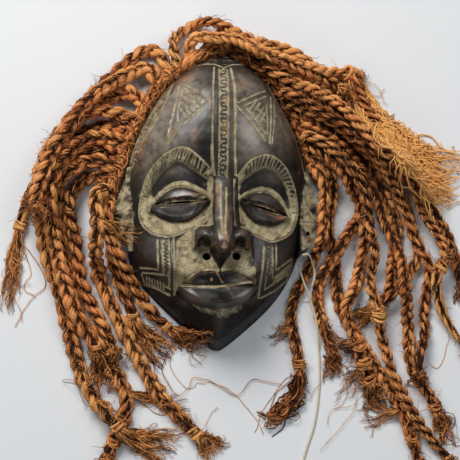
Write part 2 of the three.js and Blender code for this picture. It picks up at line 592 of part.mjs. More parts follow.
// Plaits: the way each one lies, from its root on the edge cord, chosen by hand; the first lies lowest
const plaitRoutes = {
  plait_right_17: [[57, 73], [69, 71], [85, 65], [101, 57], [116, 47]],
  plait_right_10: [[59, 69], [70, 65], [84, 59], [98, 51], [110, 42], [122, 31], [131, 18], [138, 4],
    [143, -9], [148, -23], [146, -37], [143, -54], [143, -71], [135, -84]],
  plait_right_14: [[72, 33], [83, 27], [91, 17], [95, 4], [92, -9], [89, -24], [94, -41], [97, -59],
    [98, -77], [102, -93], [114, -111], [124, -127], [134, -143], [143, -159], [153, -175], [159, -192],
    [166, -213]],
  plait_top_03: [[-14, 122], [-9, 133], [1, 136], [13, 135], [25, 129], [39, 125], [53, 121], [66, 114],
    [79, 107], [92, 103]],
  plait_left_07: [[-77, 51], [-89, 55], [-101, 53], [-115, 47], [-124, 36], [-130, 22], [-139, 6],
    [-143, -7], [-142, -20]],
  plait_left_11: [[-45, 100], [-50, 116], [-60, 123], [-70, 117], [-84, 104], [-98, 89], [-112, 74],
    [-127, 56], [-139, 36], [-146, 17], [-153, -1], [-158, -18], [-161, -33]],
  plait_left_01: [[-89, -10], [-94, -19], [-88, -30], [-86, -45], [-83, -62], [-77, -80], [-70, -94],
    [-66, -104]],
  plait_right_09: [[53, 75], [64, 71], [78, 64], [93, 58], [107, 49], [120, 39], [132, 28], [142, 16],
    [152, 4], [158, -12], [162, -29], [167, -42], [160, -56], [151, -70], [139, -82], [126, -92]],
  plait_top_01: [[-36, 106], [-42, 120], [-40, 132], [-30, 140], [-16, 146], [-3, 142], [9, 137],
    [22, 130], [36, 129], [51, 124], [65, 121], [73, 111], [85, 105], [99, 107], [111, 104]],
  plait_right_16: [[68, 47.5], [80, 43], [95, 33], [107, 22], [115, 8], [119, -6], [114, -18], [104, -33],
    [97, -47], [88, -59], [82, -75], [83, -92], [89, -110], [94, -124]],
  plait_right_11: [[62, 58], [73, 53], [87, 47], [100, 38], [112, 28], [122, 15], [130, 1], [135, -15],
    [141, -31], [148, -47], [151, -66], [153, -85], [157, -106], [158, -133], [165, -147], [175, -160],
    [180, -172]],
  plait_right_13: [[70, 40], [83, 35], [94, 26], [102, 14], [112, 3], [118, -9], [119, -23], [120, -39],
    [116, -57], [113, -75], [104, -87], [105, -99], [112, -114], [118, -131], [124, -150]],
  plait_right_05: [[25, 117], [34, 114], [45, 107], [58, 102], [72, 97], [86, 90], [98, 82], [109, 70],
    [121, 56]],
  plait_left_05: [[-84, 30], [-96, 34], [-108, 30], [-120, 24], [-127, 14], [-132, -1], [-130, -19],
    [-128, -41], [-122, -62], [-118, -83], [-110, -106], [-96, -121], [-84, -140], [-73, -159],
    [-70, -177], [-78, -197], [-84, -215]],
  plait_right_07: [[41, 97], [52, 92], [65, 87], [78, 79], [92, 69], [105, 58], [117, 45], [129, 35],
    [143, 27], [157, 17], [169, 7], [177, -6], [184, -19], [192, -34], [196, -49], [201, -67]],
  plait_right_08: [[46, 82], [57, 79], [70, 71], [84, 64], [97, 56], [111, 45], [123, 32], [134, 21],
    [143, 7], [151, -7], [158, -23], [162, -38], [172, -49], [174, -59], [172, -75], [169, -91],
    [171, -110], [165, -123], [165, -143]],
  plait_left_09: [[-66, 73], [-73, 84], [-82, 83], [-93, 77], [-104, 70], [-115, 61], [-126, 47],
    [-135, 29], [-139, 16], [-141, 3]],
  plait_left_03: [[-89, 10], [-99, 13], [-109, 9], [-118, 1], [-122, -11], [-119, -27], [-115, -43],
    [-113, -62], [-107, -82], [-98, -99], [-88, -116], [-82, -130]],
  plait_left_04: [[-87, 19], [-98, 23], [-110, 21], [-125, 11], [-136, 1], [-144, -11], [-143, -26],
    [-140, -48], [-132, -69], [-125, -89], [-120, -109], [-113, -131], [-105, -154], [-93, -173],
    [-76, -192]],
  plait_top_04: [[1, 125], [11, 131], [22, 127], [32, 116], [45, 110], [58, 104], [72, 98], [85, 95],
    [96, 88], [106, 80]],
  plait_left_06: [[-81, 40], [-92, 43], [-104, 42], [-116, 36], [-125, 23], [-134, 5], [-137, -10],
    [-135, -26], [-132, -43], [-127, -62], [-121, -83], [-112, -103], [-101, -120], [-95, -132]],
  plait_left_12: [[-88, -15], [-92, -26], [-90, -36], [-86, -47], [-80, -57], [-74, -67], [-67, -79],
    [-60, -89], [-52, -99], [-44, -107], [-36, -112]],
  plait_right_06: [[32, 104], [42, 100], [54, 93], [67, 88], [80, 80], [93, 72], [104, 61], [114, 48],
    [125, 35], [138, 27], [151, 18], [160, 8], [165, -5], [174, -18], [182, -31], [188, -44], [181, -56],
    [177, -68], [181, -84], [190, -101], [204, -120]],
  plait_top_02: [[-26, 112], [-29, 124], [-21, 130], [-11, 126], [2, 127], [14, 124], [25, 117],
    [38, 112], [52, 108], [66, 102], [80, 97], [92, 94], [99, 89]],
  plait_right_12: [[65, 48], [77, 44], [91, 35], [102, 25], [112, 13], [119, -1], [122, -15], [123, -32],
    [129, -46], [124, -63], [124, -78], [130, -93], [131, -107], [138, -120], [140, -136], [147, -151],
    [154, -165], [164, -181], [178, -197], [191, -212]],
  plait_left_02: [[-90, -3], [-98, -2], [-101, -12], [-98, -25], [-97, -36], [-99, -49], [-97, -65],
    [-91, -81], [-83, -97], [-75, -112], [-66, -129], [-52, -152], [-41, -168], [-25, -184], [-13, -196]],
  plait_right_15: [[74, 22], [83, 16], [85, 1], [84, -17], [84, -33], [79, -49], [73, -63], [65, -79],
    [60, -94], [62, -109], [66, -125], [69, -143]],
  plait_left_08: [[-73, 60], [-84, 63], [-97, 64], [-109, 63], [-118, 56], [-129, 45], [-140, 29],
    [-144, 15], [-147, 1], [-150, -9]],
  plait_left_10: [[-55, 90], [-57, 105], [-65, 105], [-73, 99], [-85, 93], [-97, 82], [-108, 70],
    [-117, 58], [-125, 43], [-135, 27], [-141, 7], [-147, -7], [-147, -21]],
};
// Loose fibre at the end of a plait: heading in degrees, length, width at its tip
const frayedEnds = {
  plait_left_01: [-48, 40, 24], plait_left_02: [-46, 26, 18], plait_left_04: [-14, 52, 28], plait_left_06: [-88, 34, 18],
  plait_left_11: [-93, 58, 17], plait_left_12: [-24, 34, 20],
  plait_right_06: [-70, 26, 16], plait_right_07: [-80, 18, 15], plait_right_09: [-150, 18, 16],
  plait_right_11: [-60, 26, 18], plait_right_13: [-62, 26, 20], plait_right_15: [-100, 20, 16],
  plait_right_16: [-80, 24, 16],
};
const shortFray = [undefined, 9, 12];          // where the table above names none
const threadRoutes = {
  thread_short: [[67, -51], [72, -50], [76, -55], [79, -63], [77, -74]],
  thread_long: [[65.5, -56], [67.5, -62], [71, -72], [76, -84], [81, -102], [84, -123], [85, -145], [84, -165], [81, -185],
    [76, -201], [71, -218]],
};

// Loose unplaited fibre, spread flat: its middle line, its width at both ends and its thickness
const tufts = {
  golden_fibre_tuft: { line: [[112, 99], [117, 84], [127, 69], [142, 54], [160, 39], [178, 28], [196, 19]],
    widths: [11, 60], thickness: 9 },
  dark_fibre_tuft: { line: [[68, -146.5], [66, -160], [59, -176], [48, -190], [38, -198]], widths: [9, 21], thickness: 8 },
};

function tuftGeometry({ line, widths, thickness }) {
  const curve = new THREE.CatmullRomCurve3(line.map(([x, y]) => new THREE.Vector3(x, y, 0)));
  const acrossCount = 6;
  const alongCount = Math.round(curve.getLength() / 9);
  const top = [];
  const under = [];
  for (let i = 0; i <= alongCount; i += 1) {
    const t = i / alongCount;
    const at = curve.getPointAt(t);
    const direction = curve.getTangentAt(t);
    const width = widths[0] + (widths[1] - widths[0]) * t ** 1.3;
    for (let k = 0; k <= acrossCount; k += 1) {
      const side = 2 * k / acrossCount - 1;
      const [x, y] = [at.x - direction.y * side * width / 2, at.y + direction.x * side * width / 2];
      let low = 0;
      cellsNear(x, y, 9, cell => { low = max(low, field.tops[cell]); });
      const thick = thickness * (1 - 0.55 * t) * sqrt(1 - 0.75 * side * side);
      under.push(new THREE.Vector3(x, y, low + clearance));
      top.push(new THREE.Vector3(x, y, low + clearance + thick));
    }
  }
  return closedSheet(top, under, acrossCount + 1);
}

// A closed body between two grids of points, one above the other
function closedSheet(top, under, columns) {
  const rows = top.length / columns;
  const index = [];
  const at = (r, c) => r * columns + c;
  for (let r = 0; r < rows - 1; r += 1) {
    for (let c = 0; c < columns - 1; c += 1) {
      const [a, b, d, e] = [at(r, c), at(r, c + 1), at(r + 1, c + 1), at(r + 1, c)];
      index.push(a, d, b, a, e, d);
      index.push(...[a, b, d, a, d, e].map(i => i + top.length));
    }
  }
  const loop = [];
  for (let c = 0; c < columns; c += 1) loop.push(at(0, c));
  for (let r = 1; r < rows; r += 1) loop.push(at(r, columns - 1));
  for (let c = columns - 2; c >= 0; c -= 1) loop.push(at(rows - 1, c));
  for (let r = rows - 2; r > 0; r -= 1) loop.push(at(r, 0));
  loop.forEach((a, i) => {
    const b = loop[(i + 1) % loop.length];
    index.push(a, b, b + top.length, a, b + top.length, a + top.length);
  });
  const geometry = new THREE.BufferGeometry();
  geometry.setAttribute('position', new THREE.Float32BufferAttribute([...top, ...under].flatMap(p => p.toArray()), 3));
  geometry.setIndex(index);
  return geometry;
}

const root = new THREE.Group();
root.position.set(centring[0], centring[1], 0);

function addPiece(name, geometry, color, roughness) {
  const mesh = new THREE.Mesh(geometry, new THREE.MeshStandardMaterial({ color, roughness, metalness: 0 }));
  mesh.name = name;
  root.add(mesh);
}

addPiece('mask', maskGeometry(), 0x2e2620, 0.45);
addPiece('edge_cord', tubeGeometry(edgeCord, edgeCordDiameter), 0x9a5a2c, 0.9);
for (const [name, route] of Object.entries(plaitRoutes)) {
  const { width, thickness } = name.startsWith('plait_left') ? leftPlait : otherPlait;
  const plan = plaitPlan(route, width);
  const wide = plan.map((_, i) => (i === 0 ? plaitRootWidth : width) / 2);
  const high = plan.map(() => thickness / 2);
  addFray(plan, wide, high, frayedEnds[name]);
  addPiece(name, flatTubeGeometry(lay(plan, wide, high, edgeCordHeight), wide, high), 0x9a5a2c, 0.9);
}
for (const [name, route] of Object.entries(threadRoutes)) {
  const curve = new THREE.CatmullRomCurve3(route.map(([x, y]) => new THREE.Vector3(x, y, 0)));
  const plan = evenSteps(curve, 0, threadStep);
  const radii = plan.map(() => threadDiameter / 2);
  const laid = lay(plan, radii, radii, 0);
  addPiece(name, tubeGeometry(laid, threadDiameter, 6), 0xb9b3a2, 0.95);
}
for (const [name, tuft] of Object.entries(tufts)) addPiece(name, tuftGeometry(tuft), 0xb8863c, 0.9);

export default root;
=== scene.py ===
# A carved wooden face mask of the Dan type with its plaited fibre hair, lying on its back on a pale table.
import math

import bpy
import numpy as np
from mathutils import Matrix, Vector


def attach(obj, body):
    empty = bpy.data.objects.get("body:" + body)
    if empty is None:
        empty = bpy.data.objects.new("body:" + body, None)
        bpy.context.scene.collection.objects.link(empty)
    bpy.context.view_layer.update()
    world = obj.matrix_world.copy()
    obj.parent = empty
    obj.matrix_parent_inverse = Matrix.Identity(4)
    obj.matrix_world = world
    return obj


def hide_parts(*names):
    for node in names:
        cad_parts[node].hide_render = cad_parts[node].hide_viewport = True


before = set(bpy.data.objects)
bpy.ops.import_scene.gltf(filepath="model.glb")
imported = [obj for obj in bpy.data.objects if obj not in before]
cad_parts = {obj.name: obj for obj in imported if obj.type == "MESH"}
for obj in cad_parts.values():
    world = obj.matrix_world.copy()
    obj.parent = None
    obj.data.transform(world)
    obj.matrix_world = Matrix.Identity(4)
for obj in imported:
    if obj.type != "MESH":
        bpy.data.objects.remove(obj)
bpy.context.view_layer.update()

# The table, the light and the view.
# The mask lies on a plain pale table in a pale room, under a wide soft lamp beyond its forehead and two
# weaker ones. The camera looks down on it, a little from the side of the chin and of the left ear.
drawing_origin = np.array([5.29, 0.96, 0.0])   # of the mask's own drawing in the row frame, in millimetres


def to_row(points):
    """Millimetres on the mask's own drawing as metres in the row frame."""
    return (np.asarray(points, float) + drawing_origin) / 1000


view_centre = Vector(to_row((8, -33, 30)))
view_distance = 1.3
lean_to_ear, lean_to_chin, roll = (math.radians(degrees) for degrees in (4, 10, 1.1))
focal_length_px = 1625
photo_side_px = 460
sensor_mm = 36
back = Vector((-math.tan(lean_to_ear), -math.tan(lean_to_chin), 1)).normalized()
across = Vector((0, 1, 0)).cross(back).normalized()
upright = back.cross(across)
camera = bpy.data.objects.new("camera", bpy.data.cameras.new("camera"))
bpy.context.scene.collection.objects.link(camera)
camera.matrix_world = Matrix((
    across * math.cos(roll) + upright * math.sin(roll),
    upright * math.cos(roll) - across * math.sin(roll),
    back,
)).transposed().to_4x4()
camera.location = view_centre + back * view_distance
camera.data.sensor_width = sensor_mm
camera.data.lens = sensor_mm * focal_length_px / photo_side_px
camera.data.clip_start = 0.05
bpy.context.scene.camera = camera
bpy.context.scene.view_settings.view_transform = "Standard"


def soft_lamp(name, place, size, watts, colour):
    """A rectangular lamp that shines on the middle of the table."""
    lamp = bpy.data.objects.new(name, bpy.data.lights.new(name, "AREA"))
    bpy.context.scene.collection.objects.link(lamp)
    lamp.data.shape = "RECTANGLE"
    lamp.data.size, lamp.data.size_y = size
    lamp.data.energy = watts
    lamp.data.color = colour
    lamp.location = place
    lamp.rotation_euler = (-Vector(place)).to_track_quat("-Z", "Y").to_euler()


soft_lamp("window_lamp", (-0.6, 1.0, 1.3), (1.1, 0.7), 29, (1.0, 0.99, 0.97))
soft_lamp("ceiling_lamp", (1.0, 0.6, 1.9), (1.2, 1.0), 9, (0.93, 0.96, 1.0))
soft_lamp("lower_lamp", (-0.5, -1.2, 1.3), (0.7, 0.5), 3.2, (0.9, 0.95, 1.0))
world = bpy.data.worlds.new("pale_room")
bpy.context.scene.world = world
world.use_nodes = True
room = world.node_tree.nodes["Background"]
room.inputs["Color"].default_value = (0.86, 0.92, 1.0, 1)
room.inputs["Strength"].default_value = 0.17


def new_material(name):
    """A material with an empty Principled surface; gives the material, its nodes and the surface."""
    material = bpy.data.materials.new(name)
    material.use_nodes = True
    nodes = material.node_tree.nodes
    return material, nodes, nodes["Principled BSDF"]


table_corners = [(-4, -4, 0), (4, -4, 0), (4, 4, 0), (-4, 4, 0)]
table_mesh = bpy.data.meshes.new("table")
table_mesh.from_pydata(table_corners, [], [(0, 1, 2, 3)])
table = bpy.data.objects.new("table", table_mesh)
bpy.context.scene.collection.objects.link(table)
table_paint, _, surface = new_material("table_paint")
surface.inputs["Base Color"].default_value = (0.735, 0.745, 0.755, 1)
surface.inputs["Roughness"].default_value = 0.6
table_mesh.materials.append(table_paint)

# The face of the mask.
# One piece of hardwood, carved by adze and knife and rubbed dark. The back is hollow for the wearer's face.
# It is drawn in millimetres, as heights over x and y: the solid's own heights and the fine knife work.
rim_points = [
    (1, 116), (14, 112), (28, 103), (40, 92), (51, 74), (60, 56), (67, 37), (71, 17), (72, -3), (71, -22),
    (68, -40), (63, -57), (56, -73), (46, -88), (34, -101), (20, -114), (8, -124), (1, -127.5), (-7, -124),
    (-20, -114), (-35, -102), (-50, -88), (-62, -75), (-70, -61), (-74, -44), (-76.5, -22), (-77, -2),
    (-76, 15), (-73, 32), (-67, 49), (-59, 66), (-48, 84), (-35, 98), (-20, 109), (-9, 114.5),
]
left_ear = [(-74, 12), (-77.5, 6), (-82, -6), (-87, -22.5), (-83.5, -33), (-76, -42.5), (-69, -50)]
right_ear = [(70.5, 17), (75, 4), (79, -9), (81.5, -22), (78.5, -33), (73, -43.5), (66, -48)]
rim_height = 9         # plain wall round the edge, up from the table
chin_edge = 3          # the same wall under the chin
hollow_inset = 10      # thickness of the wall at the rim


def smooth_line(points, per_piece, closed=False):
    """A line that runs smoothly through points, with per_piece steps from each to the next."""
    p = np.asarray(points, float)
    if closed:
        p = np.vstack([p[-1], p, p[:2]])
    else:
        p = np.vstack([2 * p[0] - p[1], p, 2 * p[-1] - p[-2]])
    t = np.arange(per_piece)[None, :, None] / per_piece
    a, b, c, d = p[:-3, None], p[1:-2, None], p[2:-1, None], p[3:, None]
    line = 0.5 * (2 * b + (c - a) * t + (2 * a - 5 * b + 4 * c - d) * t ** 2
                  + (3 * b - a - 3 * c + d) * t ** 3)
    line = line.reshape(-1, p.shape[1])
    return line if closed else np.vstack([line, p[-2]])


def profile(pairs):
    """A curve through (position, value) pairs that never swings past them."""
    p, v = np.array(pairs, float).T
    slopes = np.diff(v) / np.diff(p)
    product = slopes[:-1] * slopes[1:]
    total = np.where(product > 0, slopes[:-1] + slopes[1:], 1)
    tangents = np.concatenate([slopes[:1], np.where(product > 0, 2 * product / total, 0), slopes[-1:]])

    def at(position):
        t = np.clip(position, p[0], p[-1])
        i = np.clip(np.searchsorted(p, t, side="right") - 1, 0, len(p) - 2)
        h = p[i + 1] - p[i]
        s = (t - p[i]) / h
        return ((1 + 2 * s) * (1 - s) ** 2 * v[i] + s * (1 - s) ** 2 * h * tangents[i]
                + s * s * (3 - 2 * s) * v[i + 1] + s * s * (s - 1) * h * tangents[i + 1])
    return at


face_crest = profile([(-127, 12), (-112, 47), (-100, 54), (-85, 57.5), (-66, 55.5), (-40, 51), (-20, 50),
                      (-5, 51), (6, 55), (16, 60), (35, 62.5), (55, 61), (75, 56), (90, 47), (102, 34),
                      (110, 22), (116, 12)])
hollow_crest = profile([(-114, 4), (-104, 16), (-90, 32), (-62, 38), (-40, 36), (-15, 33), (5, 38), (30, 50),
                        (58, 50), (82, 38), (98, 18), (106, 4)])
rim_line = smooth_line(rim_points, 6, closed=True)


def step(a, b, t):
    """0 before a, 1 after b, smooth between them; b may be the smaller."""
    u = np.clip((t - a) / (b - a), 0, 1)
    return u * u * (3 - 2 * u)


def smooth_min(a, b, k):
    """The smaller of two heights, with the edge between them rounded over k."""
    h = np.clip(0.5 + 0.5 * (b - a) / k, 0, 1)
    return b + (a - b) * h - k * h * (1 - h)


def edge_at(y, *lines, outermost):
    """The x at each y of the outermost of some lines."""
    found = []
    for line in lines:
        line = line[np.argsort(line[:, 1])]
        found.append(np.interp(y, line[:, 1], line[:, 0], left=1, right=1))
    return outermost(found, axis=0)


left_rim = rim_line[rim_line[:, 0] < 1]
right_rim = rim_line[rim_line[:, 0] >= 1]


def face_edges(y):
    return edge_at(y, left_rim, outermost=np.min), edge_at(y, right_rim, outermost=np.max)


def mask_edges(y):
    return (edge_at(y, left_rim, np.array(left_ear, float), outermost=np.min),
            edge_at(y, right_rim, np.array(right_ear, float), outermost=np.max))


def line_distance(x, y, line, reach=np.inf):
    """Distance of each point from a line of points, or reach where it is further."""
    line = np.asarray(line, float)
    best = np.full(x.shape, float(reach))
    low, high = line.min(0) - reach, line.max(0) + reach
    near = (x > low[0]) & (x < high[0]) & (y > low[1]) & (y < high[1])
    px, py = x[near], y[near]
    found = np.full(px.shape, float(reach))
    for (ax, ay), (bx, by) in zip(line[:-1], line[1:]):
        ex, ey = bx - ax, by - ay
        t = np.clip(((px - ax) * ex + (py - ay) * ey) / max(ex * ex + ey * ey, 1e-9), 0, 1)
        found = np.minimum(found, np.hypot(px - ax - t * ex, py - ay - t * ey))
    best[near] = found
    return best


def inside_line(x, y, line):
    """Distance from a closed line, positive inside it."""
    line = np.asarray(line, float)
    inside = np.zeros(x.shape, bool)
    for (ax, ay), (bx, by) in zip(line, np.roll(line, -1, axis=0)):
        if ay != by:
            inside ^= ((ay > y) != (by > y)) & (x < (bx - ax) * (y - ay) / (by - ay) + ax)
    distance = line_distance(x, y, np.vstack([line, line[:1]]))
    return np.where(inside, distance, -distance)


sockets = [(-37, -8, 29.5, 34.5, 8), (37.5, -11.5, 26, 34, -8)]         # x, y, half width, half height, tilt
eyes = [(-33, -17, 23.5, 15, 14, 8), (34.2, -18, 20.8, 14, 13, -13.5)]  # x, y, half length, up, down, tilt
slits = [(-32, -14.2, 21, 4.4, 3.6, 3), (34.2, -17, 20, 4.4, 3.6, -13.5)]
mouth = (-2, -82.5, 31, 14.5, 18, 1.3)
nostrils = [(-14.2, -53, 6.6, 9), (13.8, -53, 5.6, 9)]                  # x, y, half width, half height
nose_middle = 0.3
nose_half_width = profile([(-56, 3.2), (-50, 4.2), (-40, 6.2), (-28, 7), (-8, 6.6), (8, 6.8)])
nose_ridge = profile([(-56, 77.5), (-51, 77.5), (-30, 69.5), (-8, 58.5), (3, 55), (12, 55)])
nose_side_slope = profile([(-50, 1.3), (-36, 2), (5, 2.2)])


def turned(x, y, centre_x, centre_y, tilt):
    """Position inside a tilted shape: along it and across it."""
    c, s = math.cos(math.radians(tilt)), math.sin(math.radians(tilt))
    return (x - centre_x) * c + (y - centre_y) * s, (y - centre_y) * c - (x - centre_x) * s


def bow(u, half):
    """An almond's outline over its long axis: 1 in the middle, 0 at both ends."""
    return np.clip(1 - (u / half) ** 2, 0, 1) ** 0.85


def almond(u, v, half, up, down):
    """1 on the long axis of an almond and 0 on its outline."""
    height = np.where(v > 0, up, down) * bow(u, half) + 1e-6
    return np.where(np.abs(u) < half, np.clip(1 - np.abs(v) / height, 0, 1), 0)


def almond_at(x, y, shape):
    """Position along and across an eye, a slit or the mouth, and how far inside it each point lies."""
    cx, cy, half, up, down, tilt = shape
    u, v = turned(x, y, cx, cy, tilt)
    return u, v, almond(u, v, half, up, down)


def outline_gap(u, v, half, up, down):
    """How far each point lies above or below an almond's outline, outside it."""
    return np.where(np.abs(u) < half, np.abs(v) - np.where(v > 0, up, down) * bow(u, half), 9)


def hump(value, middle, width):
    """1 where value is at the middle, and almost 0 from two widths away."""
    return np.exp(-((value - middle) / width) ** 2)


def ear_height(x, y):
    left = 30 - 0.62 * (-65 - x) - 0.1 * np.abs(y + 24 - 0.25 * (x + 80))
    right = 30 - 0.66 * (x - 66) - 0.12 * np.abs(y + 22)
    return np.where((y > -52) & (y < 18) & (np.abs(x) >= 64), np.where(x < 0, left, right), 0)


def plain_face(x, y):
    left, right = face_edges(y)
    middle = 0.175 * (left + right)
    q = np.clip(np.where(x > middle, (x - middle) / (right - middle), (middle - x) / (middle - left)), 0, 1)
    roundness = 2.3 + 0.5 * step(0, -60, y)
    dome = rim_height + (face_crest(y) - rim_height) * (1 - q ** roundness) ** 0.56
    inside = np.maximum(inside_line(x, y, rim_line), 0)
    wall = rim_height + 3.2 * inside
    jaw_plane = chin_edge + 16 * step(-0.5, 6.5, inside) + 1.5 * np.maximum(inside - 5, 0)
    jaw = step(-40, -80, y)
    return np.maximum(smooth_min(dome, (1 - jaw) * wall + jaw * jaw_plane, 5), chin_edge)


def face_height(x, y):
    """The carved face without its knife lines."""
    z = plain_face(x, y)
    for cx, cy, wide, high, tilt in sockets:
        u, v = turned(x, y, cx, cy, tilt)
        inside = (1 - (np.abs(u / wide) ** 2.2 + np.abs(v / high) ** 2.2) ** (1 / 2.2)) * 0.5 * (wide + high)
        z = z - 2.6 * step(0, 6.5, inside) - 5.2 * step(6, 14, inside) * (0.6 + 0.4 * step(-24, -6, y))
    muzzle_width = step(0, 3, 31.5 - np.abs(x + 4) * (1 + 0.004 * (y + 62)))
    z = z - 1.8 * muzzle_width * step(-97, -90, y) * step(-34, -42, y + 0.25 * np.abs(x))
    for eye, slit in zip(eyes, slits):
        u, v, lid = almond_at(x, y, eye)
        half, up, down = eye[2:5]
        z = z + 2 * step(0, 0.2, almond(u, v, half + 2, up + 4.5, down + 2.5))
        z = z + 6 * np.sqrt(1 - (1 - lid) ** 2) - 1.5 * step(0, 0.06, lid)
        z = z - 4.2 * step(0, 0.55, almond_at(x, y, slit)[2])
    side = np.abs(x - nose_middle)
    nose = nose_ridge(y) - 0.035 * side ** 2 - np.maximum(side - nose_half_width(y), 0) * nose_side_slope(y)
    wing = (69 - ((side - 13) / 9) ** 2 * 8 - (np.maximum(y + 44, 0) / 8) ** 2 * 9
            - (np.maximum(-44 - y, 0) / 12) ** 2 * 4)
    nose = -smooth_min(-nose, -wing, 2.5)
    for cx, cy, wide, high in nostrils:
        hollow = step(1, 0.62, np.hypot((x - cx) / wide, (y - cy) / high))
        nose = nose + (np.minimum(nose, 55) - nose) * hollow
    low = -52.5 - 3 * step(7, 2, side)
    under = step(low - 5 * step(9, 2, side) - 1.5, low, y) * step(24.5, 22, side) * (y <= 9)
    z = np.maximum(z, z + (nose - z) * under)
    point = 7.5 * np.clip((y + 67) / 12, 0, 1) - np.abs(x + 0.8)
    z = np.where(y < -52, np.maximum(z, np.minimum(z + 1.4 * np.maximum(point, 0), 76 + 1.3 * (y + 52))), z)
    u, v, a = almond_at(x, y, mouth)
    dip = 1 - np.where(v > 0, 0.14 * hump(u, 0.5, 4.5), 0)
    lips = np.where(a > 0, np.clip(1 - (1 - a) / dip, 0, 1), 0)
    lip = 65 + np.where(v > 0, 0.22 * v, -0.025 * v * v) - 0.0105 * u * u
    z = z + (np.maximum(lip, z) - z) * step(0, 0.3, lips)
    z = z - 1.5 * hump(v, 0, 1) * step(mouth[2], mouth[2] - 4, np.abs(u))
    return np.maximum(z, ear_height(x, y))


# The knife work on the face.
# Scratched lines, hatching and bands were cut with a knife point and rubbed with pale clay.
# A line is (points, half width, depth). The dark figures in the bands are wood left standing in the clay.
brow_outer = {
    "left": [(-8, 8), (-20, 20), (-32, 27.5), (-44, 24), (-53, 17), (-60, 6), (-64, -10), (-65, -22),
             (-62, -32), (-55, -39), (-44, -42.5), (-34, -41), (-22, -35.5), (-10, -29)],
    "right": [(11, 6), (22, 19), (36, 24), (49, 18), (58, 5), (62, -10), (62, -19), (58, -32), (50, -40),
              (39, -44), (26, -39.5), (15, -35)],
}
brow_inner = {
    "left": [(-13, 4), (-23, 11), (-35, 17.5), (-44, 13.5), (-52, 6), (-56, -1), (-58.5, -8)],
    "right": [(13, 1), (22, 9), (33, 15), (43, 12), (51, 5), (56, -7), (58, -17)],
}
chin_line = [(-52, -85.5), (-38, -97), (-25.2, -107.7), (0, -120), (18, -110), (33.6, -100.5), (55, -79)]
keel_line = [(-1.3, -99), (-0.4, -118)]
socket_corner = {"left": (-8, -12), "right": (12, -12)}
hatched_points = 6                           # how many outer points of a brow its hatched part has
brow_strokes = {"left": 29, "right": 25}
